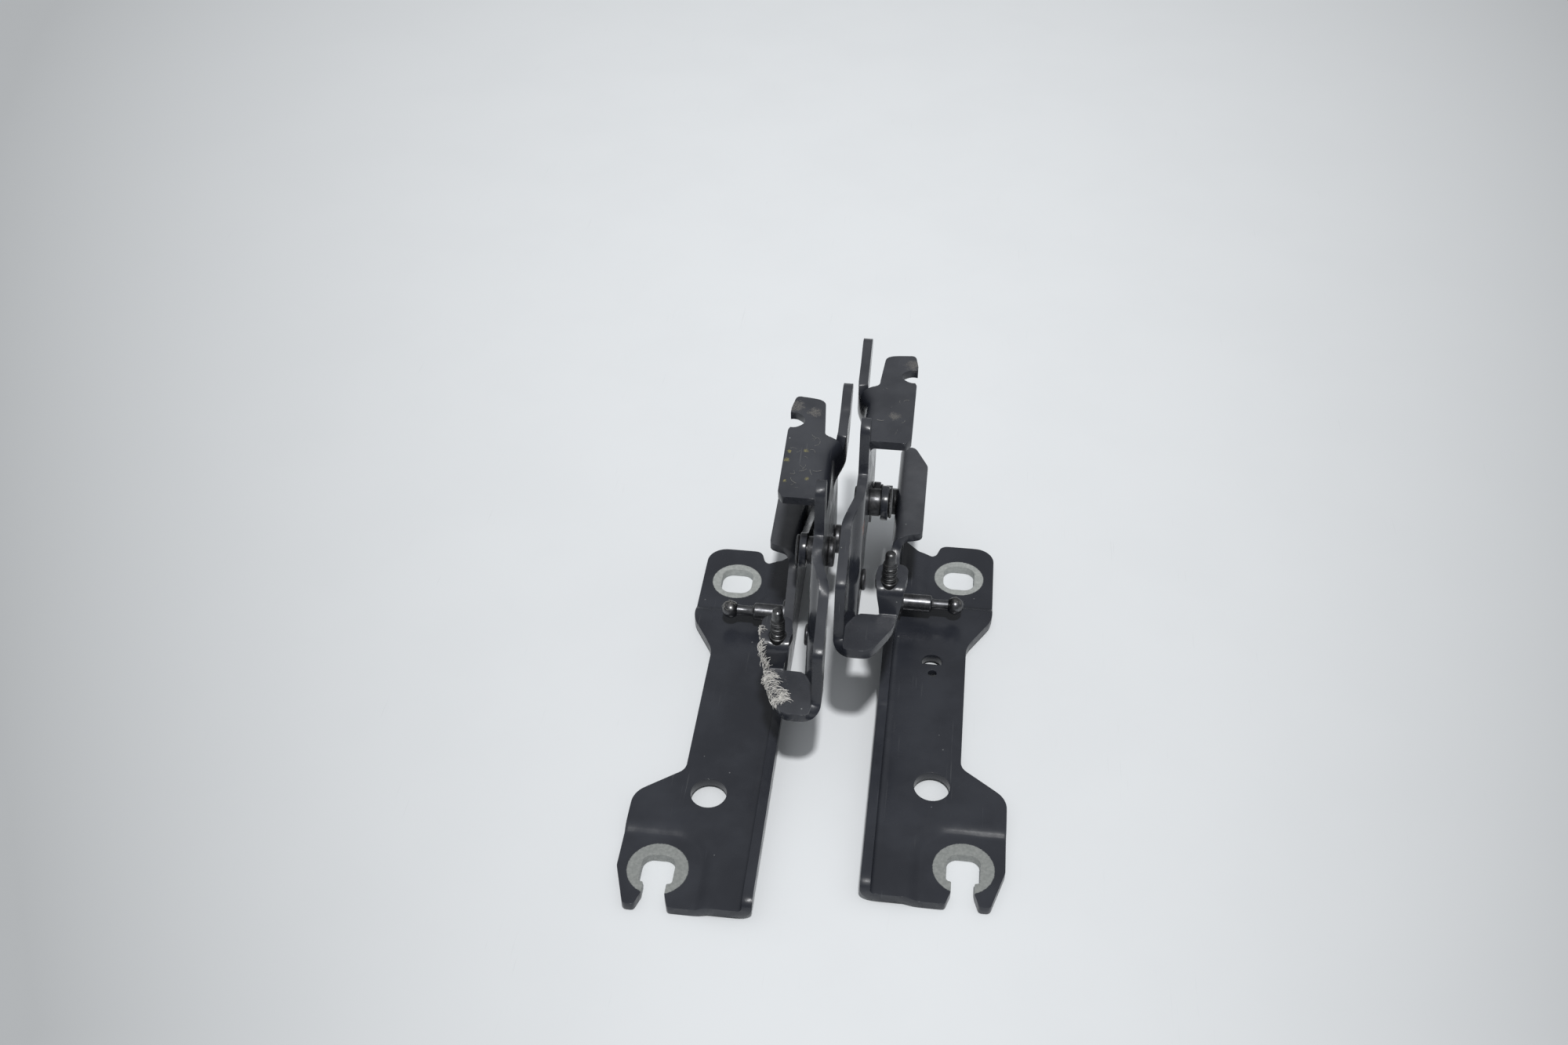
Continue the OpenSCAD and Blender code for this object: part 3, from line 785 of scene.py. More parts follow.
def smooth(value):
    """0 below 0, 1 above 1, and a soft step between."""
    t = min(1.0, max(0.0, value))
    return t * t * (3 - 2 * t)


print("rims softened by", RIM_R, "mm")

# %% [markdown]
# The two brackets
#
# A bracket is floor, web and tower flange in one strip, bent twice, with two bolting tabs one step
# lower than the floor. It could be three plates joined at their edges. As one strip it keeps its
# thickness through both bends: across the strip the flat sheet runs along the floor, round the
# first bend, up the web, round the second bend and out over the tower. The step down to a tab
# turns round the fork in a wide curve.

# %% Bracket bends
TAB_STEP = 2.0
STEP_W = 6.0
STEP_TURN_R = 12.0
FORK_TAB = (17.0, 15.5)
REAR_TAB = (21.0, 150.0)
WEB_MID = 38.0
TOWER_TOP = 50.4
FLOOR_END = WEB_MID - BEND_R
WEB_START = FLOOR_END + BEND_L
WEB_LOW = TAB_STEP + SHEET / 2 + BEND_R
WEB_HIGH = TOWER_TOP - SHEET / 2 - BEND_R
WEB_END = WEB_START + WEB_HIGH - WEB_LOW
FLANGE_START = WEB_END + BEND_L


def tab_distance(x, y):
    """How far a point lies outside a corner at 0, 0 that is rounded in plan."""
    return math.hypot(max(x + STEP_TURN_R, 0), max(y + STEP_TURN_R, 0)) - STEP_TURN_R


def floor_level(s, v):
    """Height of the middle of the floor: low on both tabs, one step up between them."""
    fork = smooth(tab_distance(s - FORK_TAB[0], v - FORK_TAB[1]) / STEP_W)
    rear = smooth(tab_distance(s - REAR_TAB[0], REAR_TAB[1] - v) / STEP_W)
    return SHEET / 2 + TAB_STEP * min(fork, rear)


def bracket_place(s, v):
    """Where a point of the flat strip ends up: s across the strip, v along it."""
    if s <= FLOOR_END:
        return Vector((s, v, floor_level(s, v)))
    if s <= WEB_START:
        turn = (s - FLOOR_END) / BEND_R
        return Vector((FLOOR_END + BEND_R * math.sin(turn), v, WEB_LOW - BEND_R * math.cos(turn)))
    if s <= WEB_END:
        return Vector((WEB_MID, v, WEB_LOW + s - WEB_START))
    if s <= FLANGE_START:
        turn = (s - WEB_END) / BEND_R
        return Vector((FLOOR_END + BEND_R * math.cos(turn), v, WEB_HIGH + BEND_R * math.sin(turn)))
    return Vector((FLOOR_END - (s - FLANGE_START), v, TOWER_TOP - SHEET / 2))


def on_web(height):
    """The strip coordinate of a height on the web."""
    return WEB_START + height - WEB_LOW


def on_flange(inward):
    """The strip coordinate of a place on the tower flange."""
    return FLANGE_START + FLOOR_END - inward


print("bracket web stands", WEB_MID, "mm in from the fork")

# %% Bracket outline
FRONT = -17.5
FLOOR_REAR = 190.5
FORK_HALF = 6.75
THROAT_HALF = 4.65
THROAT_IN = -FORK_HALF + 0.15
THROAT_OUT = FRONT + 6
FORK_EDGE = -16.5
WAIST_EDGE = 3.0
REAR_EDGE = -8.4
REAR_NOTCH = FLOOR_REAR - 8
FLANGE_EDGE = 26.6
FLANGE_EAR = 33.0
LIP_H = 11.0

bracket_outline = rounded([
    (on_web(LIP_H), FRONT, 5),
    (THROAT_HALF + 2, FRONT, 1.5),
    (THROAT_HALF, THROAT_OUT, 2.5),
    (THROAT_HALF, THROAT_IN, 0.5),
    (FORK_HALF, THROAT_IN, 1.5),
    (FORK_HALF, FORK_HALF, 4.5),
    (-FORK_HALF, FORK_HALF, 4.5),
    (-FORK_HALF, THROAT_IN, 1.5),
    (-THROAT_HALF, THROAT_IN, 0.5),
    (-THROAT_HALF, THROAT_OUT, 2.5),
    (-THROAT_HALF - 2, FRONT, 1.5),
    (-11, FRONT, 2),
    (FORK_EDGE, 0, 4),
    (FORK_EDGE, 35.5, 10),
    (WAIST_EDGE, 50, 6),
    (WAIST_EDGE, 121, 15),
    (REAR_EDGE, 140, 15),
    (REAR_EDGE, FLOOR_REAR, 9),
    (17, FLOOR_REAR, 4),
    (19.5, REAR_NOTCH, 3),
    (27, REAR_NOTCH, 5),
    (FLOOR_END + 1, FLOOR_REAR, 3),
    (on_web(18), 206, 10),
    (on_web(TOWER_TOP - 12), 212, 3),
    (WEB_END + 3, 208.5, 4),
    (on_flange(FLANGE_EAR), 207, 4),
    (on_flange(FLANGE_EDGE), 194, 6),
    (on_flange(FLANGE_EDGE), 146, 3),
    (on_flange(FLANGE_EAR), 144, 3),
    (WEB_END + 1, 140, 6),
    (on_web(26.4), 112, 10),
    (on_web(16), 84, 4),
    (on_web(LIP_H + 1.5), 75, 4),
])
blank = [max(p[k] for p in bracket_outline) - min(p[k] for p in bracket_outline) for k in (0, 1)]
print("bracket blank", [round(size, 1) for size in blank], "mm")

# %% Bracket holes
SET_R = 4.02
BALL_TAIL_R = 3.02
LOCATOR = (14.5, 38.5, 7.5)
OBLONG = (7.8, 168.5)
OBLONG_HALF = (7.3, 8.0)
SLOT = (18.0, 110.0)
SLOT_R = 4.5

bracket_holes = [
    circle(*LOCATOR),
    rounded([
        (OBLONG[0] + x * OBLONG_HALF[0], OBLONG[1] + y * OBLONG_HALF[1], 5)
        for x, y in ((-1, -1), (1, -1), (1, 1), (-1, 1))
    ]),
    circle(on_web(UPPER_TOWER[1]), UPPER_TOWER[0], SET_R),
    circle(on_web(LOWER_TOWER[1]), LOWER_TOWER[0], SET_R),
    circle(on_web(BALL[1]), BALL[0], BALL_TAIL_R),
]
floor_pierces = [
    rounded(arc(*SLOT, SLOT_R, -19.5, 199.5)),
    circle(SLOT[0] - 0.5, SLOT[1] - 7, 2),
]
print("holes in a bracket:", len(bracket_holes), "and on the right", len(floor_pierces), "more")

# %% Brackets
FORK_PAD_R = 12.2 * MM
REAR_PAD_R = 11.5 * MM


def bracket_to_row(side):
    """Takes a place on a bracket to this side's bracket."""
    return lambda p: on_hinge(side, *p)


for side in SIDES:
    pads = (
        (mount_at[side + "_fork"], FORK_PAD_R, 0.8),
        (mount_at[side + "_oblong_hole"], REAR_PAD_R, 1.15),
    )
    holes = bracket_holes + (floor_pierces if side == "right" else [])
    strip = [(bracket_outline, holes, bracket_place)]
    piece = bent_sheet(side + "_bracket_stamping", strip, bracket_to_row(side), side == "right")
    paint = black_paint(side + "_bracket_paint", pads=pads)
    dress(piece, side + "_body_bracket", "brackets", paint)

# %% [markdown]
# The two arms
#
# An arm is one web with a foot bent out at its lower front and a bonnet flange bent out at its
# top. The web steps sideways twice: once behind the foot, along a leaning line, and once where the
# tail leaves it. It can't be one strip, because its two bends lean differently, so it is three
# regions, each with its own bend rule, which are sewn together where they meet.

# %% Arm web and bonnet flange
FOOT_MID = 57.0
ARM_SHIFT = 4.5
STEP_AT = (64.0, 57.0)
STEP_LEAN = math.radians(24)
STEP_L = 11.0
TAIL_Y = 140.0
TAIL_L = 14.0
TAIL_FOOT = 84.0
TAIL_RISE = 12.0
BONNET = (113.0, 106.0)
BONNET_SLOPE = math.radians(6.7)
BEND_DROP = SHEET / 2 + BEND_R
STEP_FADE = 10.0


def web_x(v, z):
    """Middle of the arm's web, inward: the foot's plane, one step out, and in again at the tail."""
    lean = (v - STEP_AT[0]) * math.cos(STEP_LEAN) - (z - STEP_AT[1]) * math.sin(STEP_LEAN)
    tail = smooth((v - TAIL_Y) / TAIL_L) * smooth((z - TAIL_FOOT) / TAIL_RISE)
    return FOOT_MID - ARM_SHIFT * smooth(lean / STEP_L) + ARM_SHIFT * tail


def web_place(v, z):
    """A point of the web's blank after its steps are pressed in."""
    return Vector((web_x(v, z), v, z))


def slope_line(y, drop):
    """Back and up of a point along the bonnet flange's slope, this far under its top."""
    return (
        BONNET[0] + y * math.cos(BONNET_SLOPE) + drop * math.sin(BONNET_SLOPE),
        BONNET[1] + y * math.sin(BONNET_SLOPE) - drop * math.cos(BONNET_SLOPE),
    )


def flange_place(y, d):
    """The bonnet flange: y along its own slope, d from the bend's start on the web."""
    turn = min(d / BEND_R, math.pi / 2)
    v, z = slope_line(y, BEND_DROP - BEND_R * math.sin(turn))
    flat = max(0.0, d - BEND_L)
    straight = FOOT_MID - ARM_SHIFT
    shift = (web_x(v, z) - straight) * max(0.0, 1 - flat / STEP_FADE)
    return Vector((straight + shift - BEND_R * (1 - math.cos(turn)) - flat, v, z))


def on_plate(inward):
    """The bonnet flange's flat coordinate of a place this far inward."""
    return BEND_L + FOOT_MID - ARM_SHIFT - BEND_R - inward


print("arm web steps", ARM_SHIFT, "mm sideways")

# %% Foot and finger
FOOT_Z = 47.3
FOOT_R = 2.6
FOOT_L = FOOT_R * math.pi / 2
FOOT_FADE = 8.0
RISER_AT = 70.6
RISER_LOW_R = 2.6
RISER_HIGH_R = 2.4
RISER_TURN = math.radians(84)
RISER_H = 12.7
LOW_ARC = RISER_LOW_R * RISER_TURN
HIGH_ARC = RISER_HIGH_R * RISER_TURN
RISER_RUN = (RISER_H - (RISER_LOW_R + RISER_HIGH_R) * (1 - math.cos(RISER_TURN))) / math.sin(RISER_TURN)
RISER_L = LOW_ARC + RISER_RUN + HIGH_ARC


def foot_profile(along):
    """Back and up of the foot's middle after a length of sheet from its front: floor, riser, finger."""
    rest = along - RISER_AT
    if rest <= 0:
        return along, 0.0
    turn = min(rest, LOW_ARC) / RISER_LOW_R
    back, up = RISER_AT + RISER_LOW_R * math.sin(turn), RISER_LOW_R * (1 - math.cos(turn))
    run = min(max(rest - LOW_ARC, 0), RISER_RUN)
    back, up = back + run * math.cos(RISER_TURN), up + run * math.sin(RISER_TURN)
    turn = min(max(rest - LOW_ARC - RISER_RUN, 0), HIGH_ARC) / RISER_HIGH_R
    back += RISER_HIGH_R * (math.sin(RISER_TURN) - math.sin(RISER_TURN - turn))
    up += RISER_HIGH_R * (math.cos(RISER_TURN - turn) - math.cos(RISER_TURN))
    return back + max(rest - RISER_L, 0), up


RISER_GAIN = RISER_L - (foot_profile(RISER_AT + RISER_L)[0] - RISER_AT)


def foot_place(d, along):
    """The foot: d from the bend's start on the web, along the sheet from the front."""
    turn = min(d / FOOT_R, math.pi / 2)
    back, rise = foot_profile(along)
    up = FOOT_Z + FOOT_R * (1 - math.sin(turn))
    flat = max(0.0, d - FOOT_L)
    shift = (web_x(back, FOOT_Z + FOOT_R) - FOOT_MID) * max(0.0, 1 - flat / FOOT_FADE)
    return Vector((FOOT_MID + shift - FOOT_R * (1 - math.cos(turn)) - flat, back, up + rise))


def on_foot(inward):
    """The foot's flat coordinate of a place this far inward."""
    return FOOT_L + FOOT_MID - FOOT_R - inward


print("riser takes", round(RISER_L, 2), "mm of sheet to climb", RISER_H, "mm")

# %% Arm web outline
BOSS_R = 11.0
PLAY_R = 5.1
STOP_R = 3.02
FLANGE_JOIN = 36.0
FOOT_JOIN = (53.0, 67.5)
FOOT_BEND_Z = FOOT_Z + FOOT_R
HORN_FRONT = 101.5
HORN_TOP = 120.0

web_outline = rounded(
    [
        (FOOT_JOIN[0], FOOT_BEND_Z, 0),
        (54.5, 75.3, 4),
        (94, 96.5, 2),
        (HORN_FRONT, 97, 1.5),
        (HORN_FRONT, HORN_TOP, 4.5),
        (HORN_FRONT + 10, HORN_TOP, 4.5),
        (112, 101.5, 1),
        (*slope_line(0, BEND_DROP), 0),
        (*slope_line(FLANGE_JOIN, BEND_DROP), 0),
        (*slope_line(FLANGE_JOIN + 3, 1.5), 1.5),
        (*slope_line(52, 0), 10),
        (176, 117.5, 5),
        (186, 113, 4),
        (176, 103, 8),
        (166, 97, 4),
        (LOWER_ARM[0] + BOSS_R, 88, 6),
    ]
    + arc(*LOWER_ARM, BOSS_R, 0, -180)
    + [
        (UPPER_ARM[0], UPPER_ARM[1] - BOSS_R, 10),
        (STOP[0] + 22, STOP[1] + 5, 8),
        (STOP[0] + BOSS_R, STOP[1] - BOSS_R, 10),
        (STOP[0] - BOSS_R, STOP[1] - BOSS_R, 8),
        (70, FOOT_BEND_Z - 4, 2),
        (FOOT_JOIN[1], FOOT_BEND_Z, 0),
    ]
)
web_holes = [circle(*UPPER_ARM, SET_R), circle(*LOWER_ARM, PLAY_R), circle(*STOP, STOP_R)]
print("arm web has", len(web_outline), "rim points and", len(web_holes), "holes")

# %% Bonnet flange and foot outlines
PLATE_EDGE = 34.0
NOTCH = (35.5, 45.0, 4.5)
NECK = (46.4, 45.2)
HOOK_END = 58.4
FOOT_FRONT = 47.0
FINGER_EDGE = 31.2
FINGER_BACK = 80 + RISER_GAIN
FINGER_END = 89 + RISER_GAIN
STUD = (38.5, 78.0)
STUD_HOLE_R = 3.62

plate_corners = (
    [
        (0, 0, 0),
        (on_plate(PLATE_EDGE + 2), 0, 1),
        (on_plate(PLATE_EDGE), 3, 1),
        (on_plate(PLATE_EDGE), 38.8, 1),
    ]
    + arc(on_plate(NOTCH[0]), NOTCH[1], NOTCH[2], -80, -290)
    + [
        (on_plate(PLATE_EDGE), 50, 0.8),
        (on_plate(PLATE_EDGE), 52, 1),
        (on_plate(PLATE_EDGE + 1.5), 60, 2),
        (on_plate(NECK[1]), HOOK_END, 3.5),
        (on_plate(NECK[0]), FLANGE_JOIN + 0.4, 3.5),
        (0, FLANGE_JOIN, 0),
    ]
)
flange_outline = rounded([(y, d, radius) for d, y, radius in plate_corners])
foot_outline = rounded([
    (0, FOOT_JOIN[0], 0),
    (0, FOOT_JOIN[1], 0),
    (on_foot(52), RISER_AT - 0.2, 1),
    (on_foot(41.5), RISER_AT, 1.5),
    (on_foot(42), RISER_AT + 6, 4),
    (on_foot(44.5), FINGER_BACK, 5),
    (on_foot(43.2), FINGER_END, 4),
    (on_foot(FINGER_EDGE), FINGER_END, 4),
    (on_foot(FINGER_EDGE), FINGER_BACK, 10),
    (on_foot(35.5), 63, 14),
    (on_foot(43.5), FOOT_FRONT, 5.5),
    (on_foot(54), FOOT_FRONT, 4.5),
])
foot_holes = [circle(on_foot(STUD[0]), STUD[1] + RISER_GAIN, STUD_HOLE_R)]
print("rim points of the flange and the foot:", len(flange_outline), len(foot_outline))

# %% Where an arm rests
couplings = frame["record"]["behaviour"]["couplings"]
TILT_RATIO = next(c["ratio"] for c in couplings if c["joint"] == "left_arm_tilt")


def turned(point, about, angle):
    """A (back, up) place turned about another one."""
    x, y = point[0] - about[0], point[1] - about[1]
    c, s = math.cos(angle), math.sin(angle)
    return (about[0] + c * x - s * y, about[1] + s * x + c * y)


def rest_swing(side):
    """How far this side's links have swung past the left hinge's, from where its arm pivot lies."""
    pivots = (UPPER_ARM, from_row(joint_at[side + "_arm_tilt"], side))
    angles = [math.atan2(up - UPPER_TOWER[1], back - UPPER_TOWER[0]) for back, up in pivots]
    return (angles[0] - angles[1]) % (2 * math.pi)


def arm_to_row(side):
    """Takes a place on the left arm to this side's arm as it rests."""
    swing = rest_swing(side) if side == "right" else 0.0

    def move(p):
        tilted = turned((p[1], p[2]), UPPER_ARM, swing * TILT_RATIO)
        return on_hinge(side, p[0], *turned(tilted, UPPER_TOWER, -swing))

    return move


print("right hinge stands", round(math.degrees(rest_swing("right")), 2), "degrees further open")

# %% Arms and links
YELLOW = (0.30, 0.27, 0.10)
GREASE = (0.19, 0.18, 0.165)
RUST = (0.42, 0.12, 0.04)
ARM_DIRT = {
    "left": [
        ((36, 122, 107), 1.1, YELLOW),
        ((35.5, 134, 108.5), 1.5, YELLOW),
        ((43, 140, 109), 1.3, YELLOW),
        ((36, 139, 109.2), 1.2, YELLOW),
        ((45, 124, 107.5), 1.2, YELLOW),
        ((36, 166, 112), 4.5, GREASE),
        ((44, 163, 112), 3.5, GREASE),
    ],
    "right": [
        ((50.5, 88, 80), 4.5, RUST),
        ((36, 166, 112), 4.5, GREASE),
        ((42, 130, 108), 3.0, GREASE),
        ((50.5, 106, 116), 3.5, GREASE),
    ],
}
# The arms' pale layer on upward faces is partly dust, partly painted light.
ARM_FINISH = {"wear": 0.8, "scratch": 0.6, "dust": 0.9, "top_dust_and_light": 0.18, "gloss": 0.16}
arm_regions = [
    (web_outline, web_holes, web_place),
    (flange_outline, [], flange_place),
    (foot_outline, foot_holes, foot_place),
]

for side in SIDES:
    to_row = arm_to_row(side)
    marks = [(to_row(place), radius * MM, colour) for place, radius, colour in ARM_DIRT[side]]
    paint = black_paint(side + "_arm_paint", spots=marks, **ARM_FINISH)
    piece = bent_sheet(side + "_arm_stamping", arm_regions, to_row, side == "right")
    dress(piece, side + "_bonnet_arm", side + "_arm_body", paint)
    for link in ("upper_link", "lower_link"):
        piece = rounded_copy(side + "_" + link, side + "_" + link + "_stamping")
        dress(piece, side + "_" + link, side + "_" + link + "_body", paint)

# %% [markdown]
# Rivets, washers and sleeves
#
# Eight small turned pieces hold a hinge together. They could be turned anew from profiles, but the
# CAD solids already have every diameter and place, so each is its node with rounded edges: a wide
# radius on the pressed rivet heads and a small one on washers and sleeves.

# %% Rivets, washers and sleeves
body_of = {node: body for body, members in frame["record"]["behaviour"]["bodies"].items() for node in members}
RIVETS = ("upper_tower_rivet", "lower_tower_rivet", "upper_arm_rivet", "lower_arm_rivet", "stop_rivet")
RINGS = ("tower_washer", "tower_sleeve", "arm_sleeve")
for side in SIDES:
    for kind in RIVETS + RINGS:
        node = side + "_" + kind
        piece = rounded_copy(node, node + "_turned", HEAD_R if kind in RIVETS else EDGE_R)
        dress(piece, node, body_of[node], RIVET_STEEL)

# %% [markdown]
# Turned studs
#
# Ball studs and bonnet studs are turned from bar, so each is a profile swept round its axis. The
# Screw modifier could sweep it; a few lines of bmesh close both ends as well. The thread of a
# bonnet stud is a ridge along a spiral, which Geometry Nodes draw on the turned core, because its
# turns and sizes are then inputs that can be changed.

# %% Lathe
TURN_STEPS = 48
BALL_STEPS = 14
POLE = 89.0


def lathe(name, profile):
    """A closed turned solid on the z axis, in millimetres: profile is (radius, height) from one end on."""
    bm = bmesh.new()
    turns = [2 * math.pi * i / TURN_STEPS for i in range(TURN_STEPS)]
    rings = [[bm.verts.new((r * math.cos(t), r * math.sin(t), h)) for t in turns] for r, h in profile]
    for low, high in zip(rings, rings[1:]):
        for i in range(TURN_STEPS):
            following = (i + 1) % TURN_STEPS
            bm.faces.new((low[i], low[following], high[following], high[i]))
    bm.faces.new(rings[0][::-1])
    bm.faces.new(rings[-1])
    return as_mesh(name, bm)


def placed(mesh, place):
    """The mesh taken to its place in the row, with its faces turned outward."""
    bm = bmesh.new()
    bm.from_mesh(mesh)
    for vert in bm.verts:
        vert.co = place(vert.co)
    bmesh.ops.recalc_face_normals(bm, faces=bm.faces)
    bm.to_mesh(mesh)
    bm.free()
    shade(mesh, crisp=20)


def half_ball(radius, middle, start):
    """Profile of a ball from an angle before its equator to its pole."""
    turns = [math.radians(start + (POLE - start) * i / BALL_STEPS) for i in range(BALL_STEPS + 1)]
    return [(radius * math.cos(t), middle + radius * math.sin(t)) for t in turns]


print("lathe with", TURN_STEPS, "steps")

# %% Ball studs
WEB_OUT = WEB_MID - SHEET / 2
TAIL_R = 2.95
COLLAR_R = 6.5
SHANK_R = 4.0
NECK_R = 2.3
BALL_R = 4.0
BALL_REACH = 26.6
CLUMP_R = 3.2 * MM
ball_profile = [
    (TAIL_R, -SHEET), (TAIL_R, 0.0), (COLLAR_R - 0.2, 0.0), (COLLAR_R, 0.2), (COLLAR_R, 2.2),
    (COLLAR_R - 0.3, 2.5), (SHANK_R + 0.3, 2.7), (SHANK_R, 3.2), (SHANK_R, 15.2), (SHANK_R - 0.2, 15.6),
    (NECK_R + 0.3, 16.2), (NECK_R, 17.2), (NECK_R, 21.5),
] + half_ball(BALL_R, BALL_REACH, -52)


def ball_place(side):
    """Takes a place on the stud's own axis to this side's bracket."""
    return lambda p: on_hinge(side, WEB_OUT - p.z, BALL[0] + p.x, BALL[1] + p.y)


for side in SIDES:
    mesh = lathe(side + "_ball_stud_turned", ball_profile)
    placed(mesh, ball_place(side))
    greased = [Vector(p) for p in ((0, 2, BALL_REACH), (2, -1, BALL_REACH + 3))]
    clumps = [(ball_place(side)(p), CLUMP_R, GREASE) for p in greased]
    steel = dark_steel(side + "_ball_steel", (0.11, 0.112, 0.12), (0.19, 0.19, 0.195), 0.24, 0.95, clumps, 0.04)
    dress(link_object(mesh.name, mesh), side + "_ball_stud", "brackets", steel)

# %% Geometry group helpers
def geometry_group(name, *sizes):
    """A Geometry Nodes group with named inputs; returns (group, its inputs, identifier of each size)."""
    group = bpy.data.node_groups.new(name, "GeometryNodeTree")
    group.interface.new_socket("Geometry", in_out="INPUT", socket_type="NodeSocketGeometry")
    names = {}
    for size in sizes:
        kind = "NodeSocketInt" if size == "Seed" else "NodeSocketFloat"
        names[size] = group.interface.new_socket(size, in_out="INPUT", socket_type=kind).identifier
    group.interface.new_socket("Geometry", in_out="OUTPUT", socket_type="NodeSocketGeometry")
    return group, group.nodes.new("NodeGroupInput").outputs, names


def swept(group, curve, radius, sides):
    """A bar of this radius and this many sides along a curve."""
    section = add_node(group, "GeometryNodeCurvePrimitiveCircle", {"Resolution": sides, "Radius": radius})
    parts = {"Curve": curve, "Profile Curve": section.outputs["Curve"], "Fill Caps": True}
    return add_node(group, "GeometryNodeCurveToMesh", parts).outputs["Mesh"]


def finish_group(group, geometry, material):
    """Realize Instances and Set Material at the end of a group."""
    real = add_node(group, "GeometryNodeRealizeInstances", {"Geometry": geometry}).outputs["Geometry"]
    coat = add_node(group, "GeometryNodeSetMaterial", {"Geometry": real, "Material": material})
    add_node(group, "NodeGroupOutput", {"Geometry": coat.outputs["Geometry"]})
    print("geometry group:", group.name)


def worked(obj, group, names, sizes):
    """The object's mesh after its Geometry Nodes ran with these sizes; the modifier is taken off."""
    modifier = obj.modifiers.new(group.name, "NODES")
    modifier.node_group = group
    for size, value in sizes.items():
        modifier[names[size]] = value
    mesh = bpy.data.meshes.new_from_object(obj.evaluated_get(bpy.context.evaluated_depsgraph_get()))
    obj.modifiers.clear()
    obj.data = mesh
    return mesh


print("geometry group helpers ready")

# %% Thread group
SPIRAL_STEPS = 40
RIDGE_SIDES = 6


def thread_group(material):
    """A ridge along a spiral round the z axis, joined to the core it is drawn on."""
    group, given, names = geometry_group("stud_thread", "Turns", "Length", "Radius", "Ridge", "Start")
    spiral = add_node(group, "GeometryNodeCurveSpiral", {
        "Resolution": SPIRAL_STEPS, "Rotations": given["Turns"], "Height": given["Length"],
        "Start Radius": given["Radius"], "End Radius": given["Radius"],
    })
    ridge = swept(group, spiral.outputs["Curve"], given["Ridge"], RIDGE_SIDES)
    start = add_node(group, "ShaderNodeCombineXYZ", {"Z": given["Start"]}).outputs["Vector"]
    lifted = add_node(group, "GeometryNodeTransform", {"Geometry": ridge, "Translation": start})
    joined = add_node(group, "GeometryNodeJoinGeometry")
    for part in (given["Geometry"], lifted.outputs["Geometry"]):
        feed(group, joined, {"Geometry": part})
    finish_group(group, joined.outputs["Geometry"], material)
    return group, names


STUD_THREAD = thread_group(STUD_STEEL)

# %% Bonnet studs
FINGER_TOP = 62.0
THREAD_L = 9.0
DOG_L = 5.0
STUD_L = THREAD_L + DOG_L
STUD_TAIL_R = 3.55
CORE_R = 2.55
DOG_R = 2.25
THREAD = {"Turns": 8.2, "Length": THREAD_L - 0.9, "Radius": 2.62, "Ridge": 0.38, "Start": 0.4}
stud_profile = [
    (STUD_TAIL_R, -SHEET), (STUD_TAIL_R, -0.2), (STUD_TAIL_R - 0.25, 0.0), (CORE_R, 0.1),
    (CORE_R, THREAD_L - 0.4), (DOG_R + 0.05, THREAD_L), (DOG_R, STUD_L - 1.4),
    (DOG_R - 0.25, STUD_L - 0.5), (1.4, STUD_L - 0.05), (0.1, STUD_L),
]


def stud_place(side):
    """Takes a place on the stud's own axis to this side's finger."""
    return lambda p: arm_to_row(side)(Vector((STUD[0] + p.x, STUD[1] + p.y, FINGER_TOP + p.z)))


for side in SIDES:
    piece = link_object(side + "_bonnet_stud_turned", lathe(side + "_stud_core", stud_profile))
    placed(worked(piece, *STUD_THREAD, THREAD), stud_place(side))
    dress(piece, side + "_bonnet_stud", side + "_arm_body", STUD_STEEL)

# %% [markdown]
# Fibres
#
# Old insulation has been torn off the left foot and left white strings along its outer rim, and
# lint hangs on the balls and both bonnet plates. Hair particles could do this, but the export
# needs plain meshes. So one Geometry Nodes group scatters short bent fibres over a patch that
# follows the sheet, in tufts, with a fixed seed.

# %% Fibre group
TUFT_WAVES = 330.0
FIBRE_STEPS = 7
FIBRE_SIDES = 4
FIBRE_BEND = {"Start": (-0.5, 0.0, 0.0), "Middle": (0.0, 0.5, 0.15), "End": (0.5, -0.05, 0.0)}
FIBRE_TILT = (0.5, 0.35)
FIBRE_SIZES = (0.45, 1.25)


def fibre_material(name, colour):
    """Dull fibre, a quarter darker in places."""
    material, tree, shader, coords = new_material(name)
    areas = patches(tree, coords, scale=600.0, detail=3.0, ends=(0.35, 0.7))
    tone = mix_colour(tree, areas, [c * 0.75 for c in colour], colour)
    feed(tree, shader, {"Base Color": tone, "Roughness": 0.8})
    return material


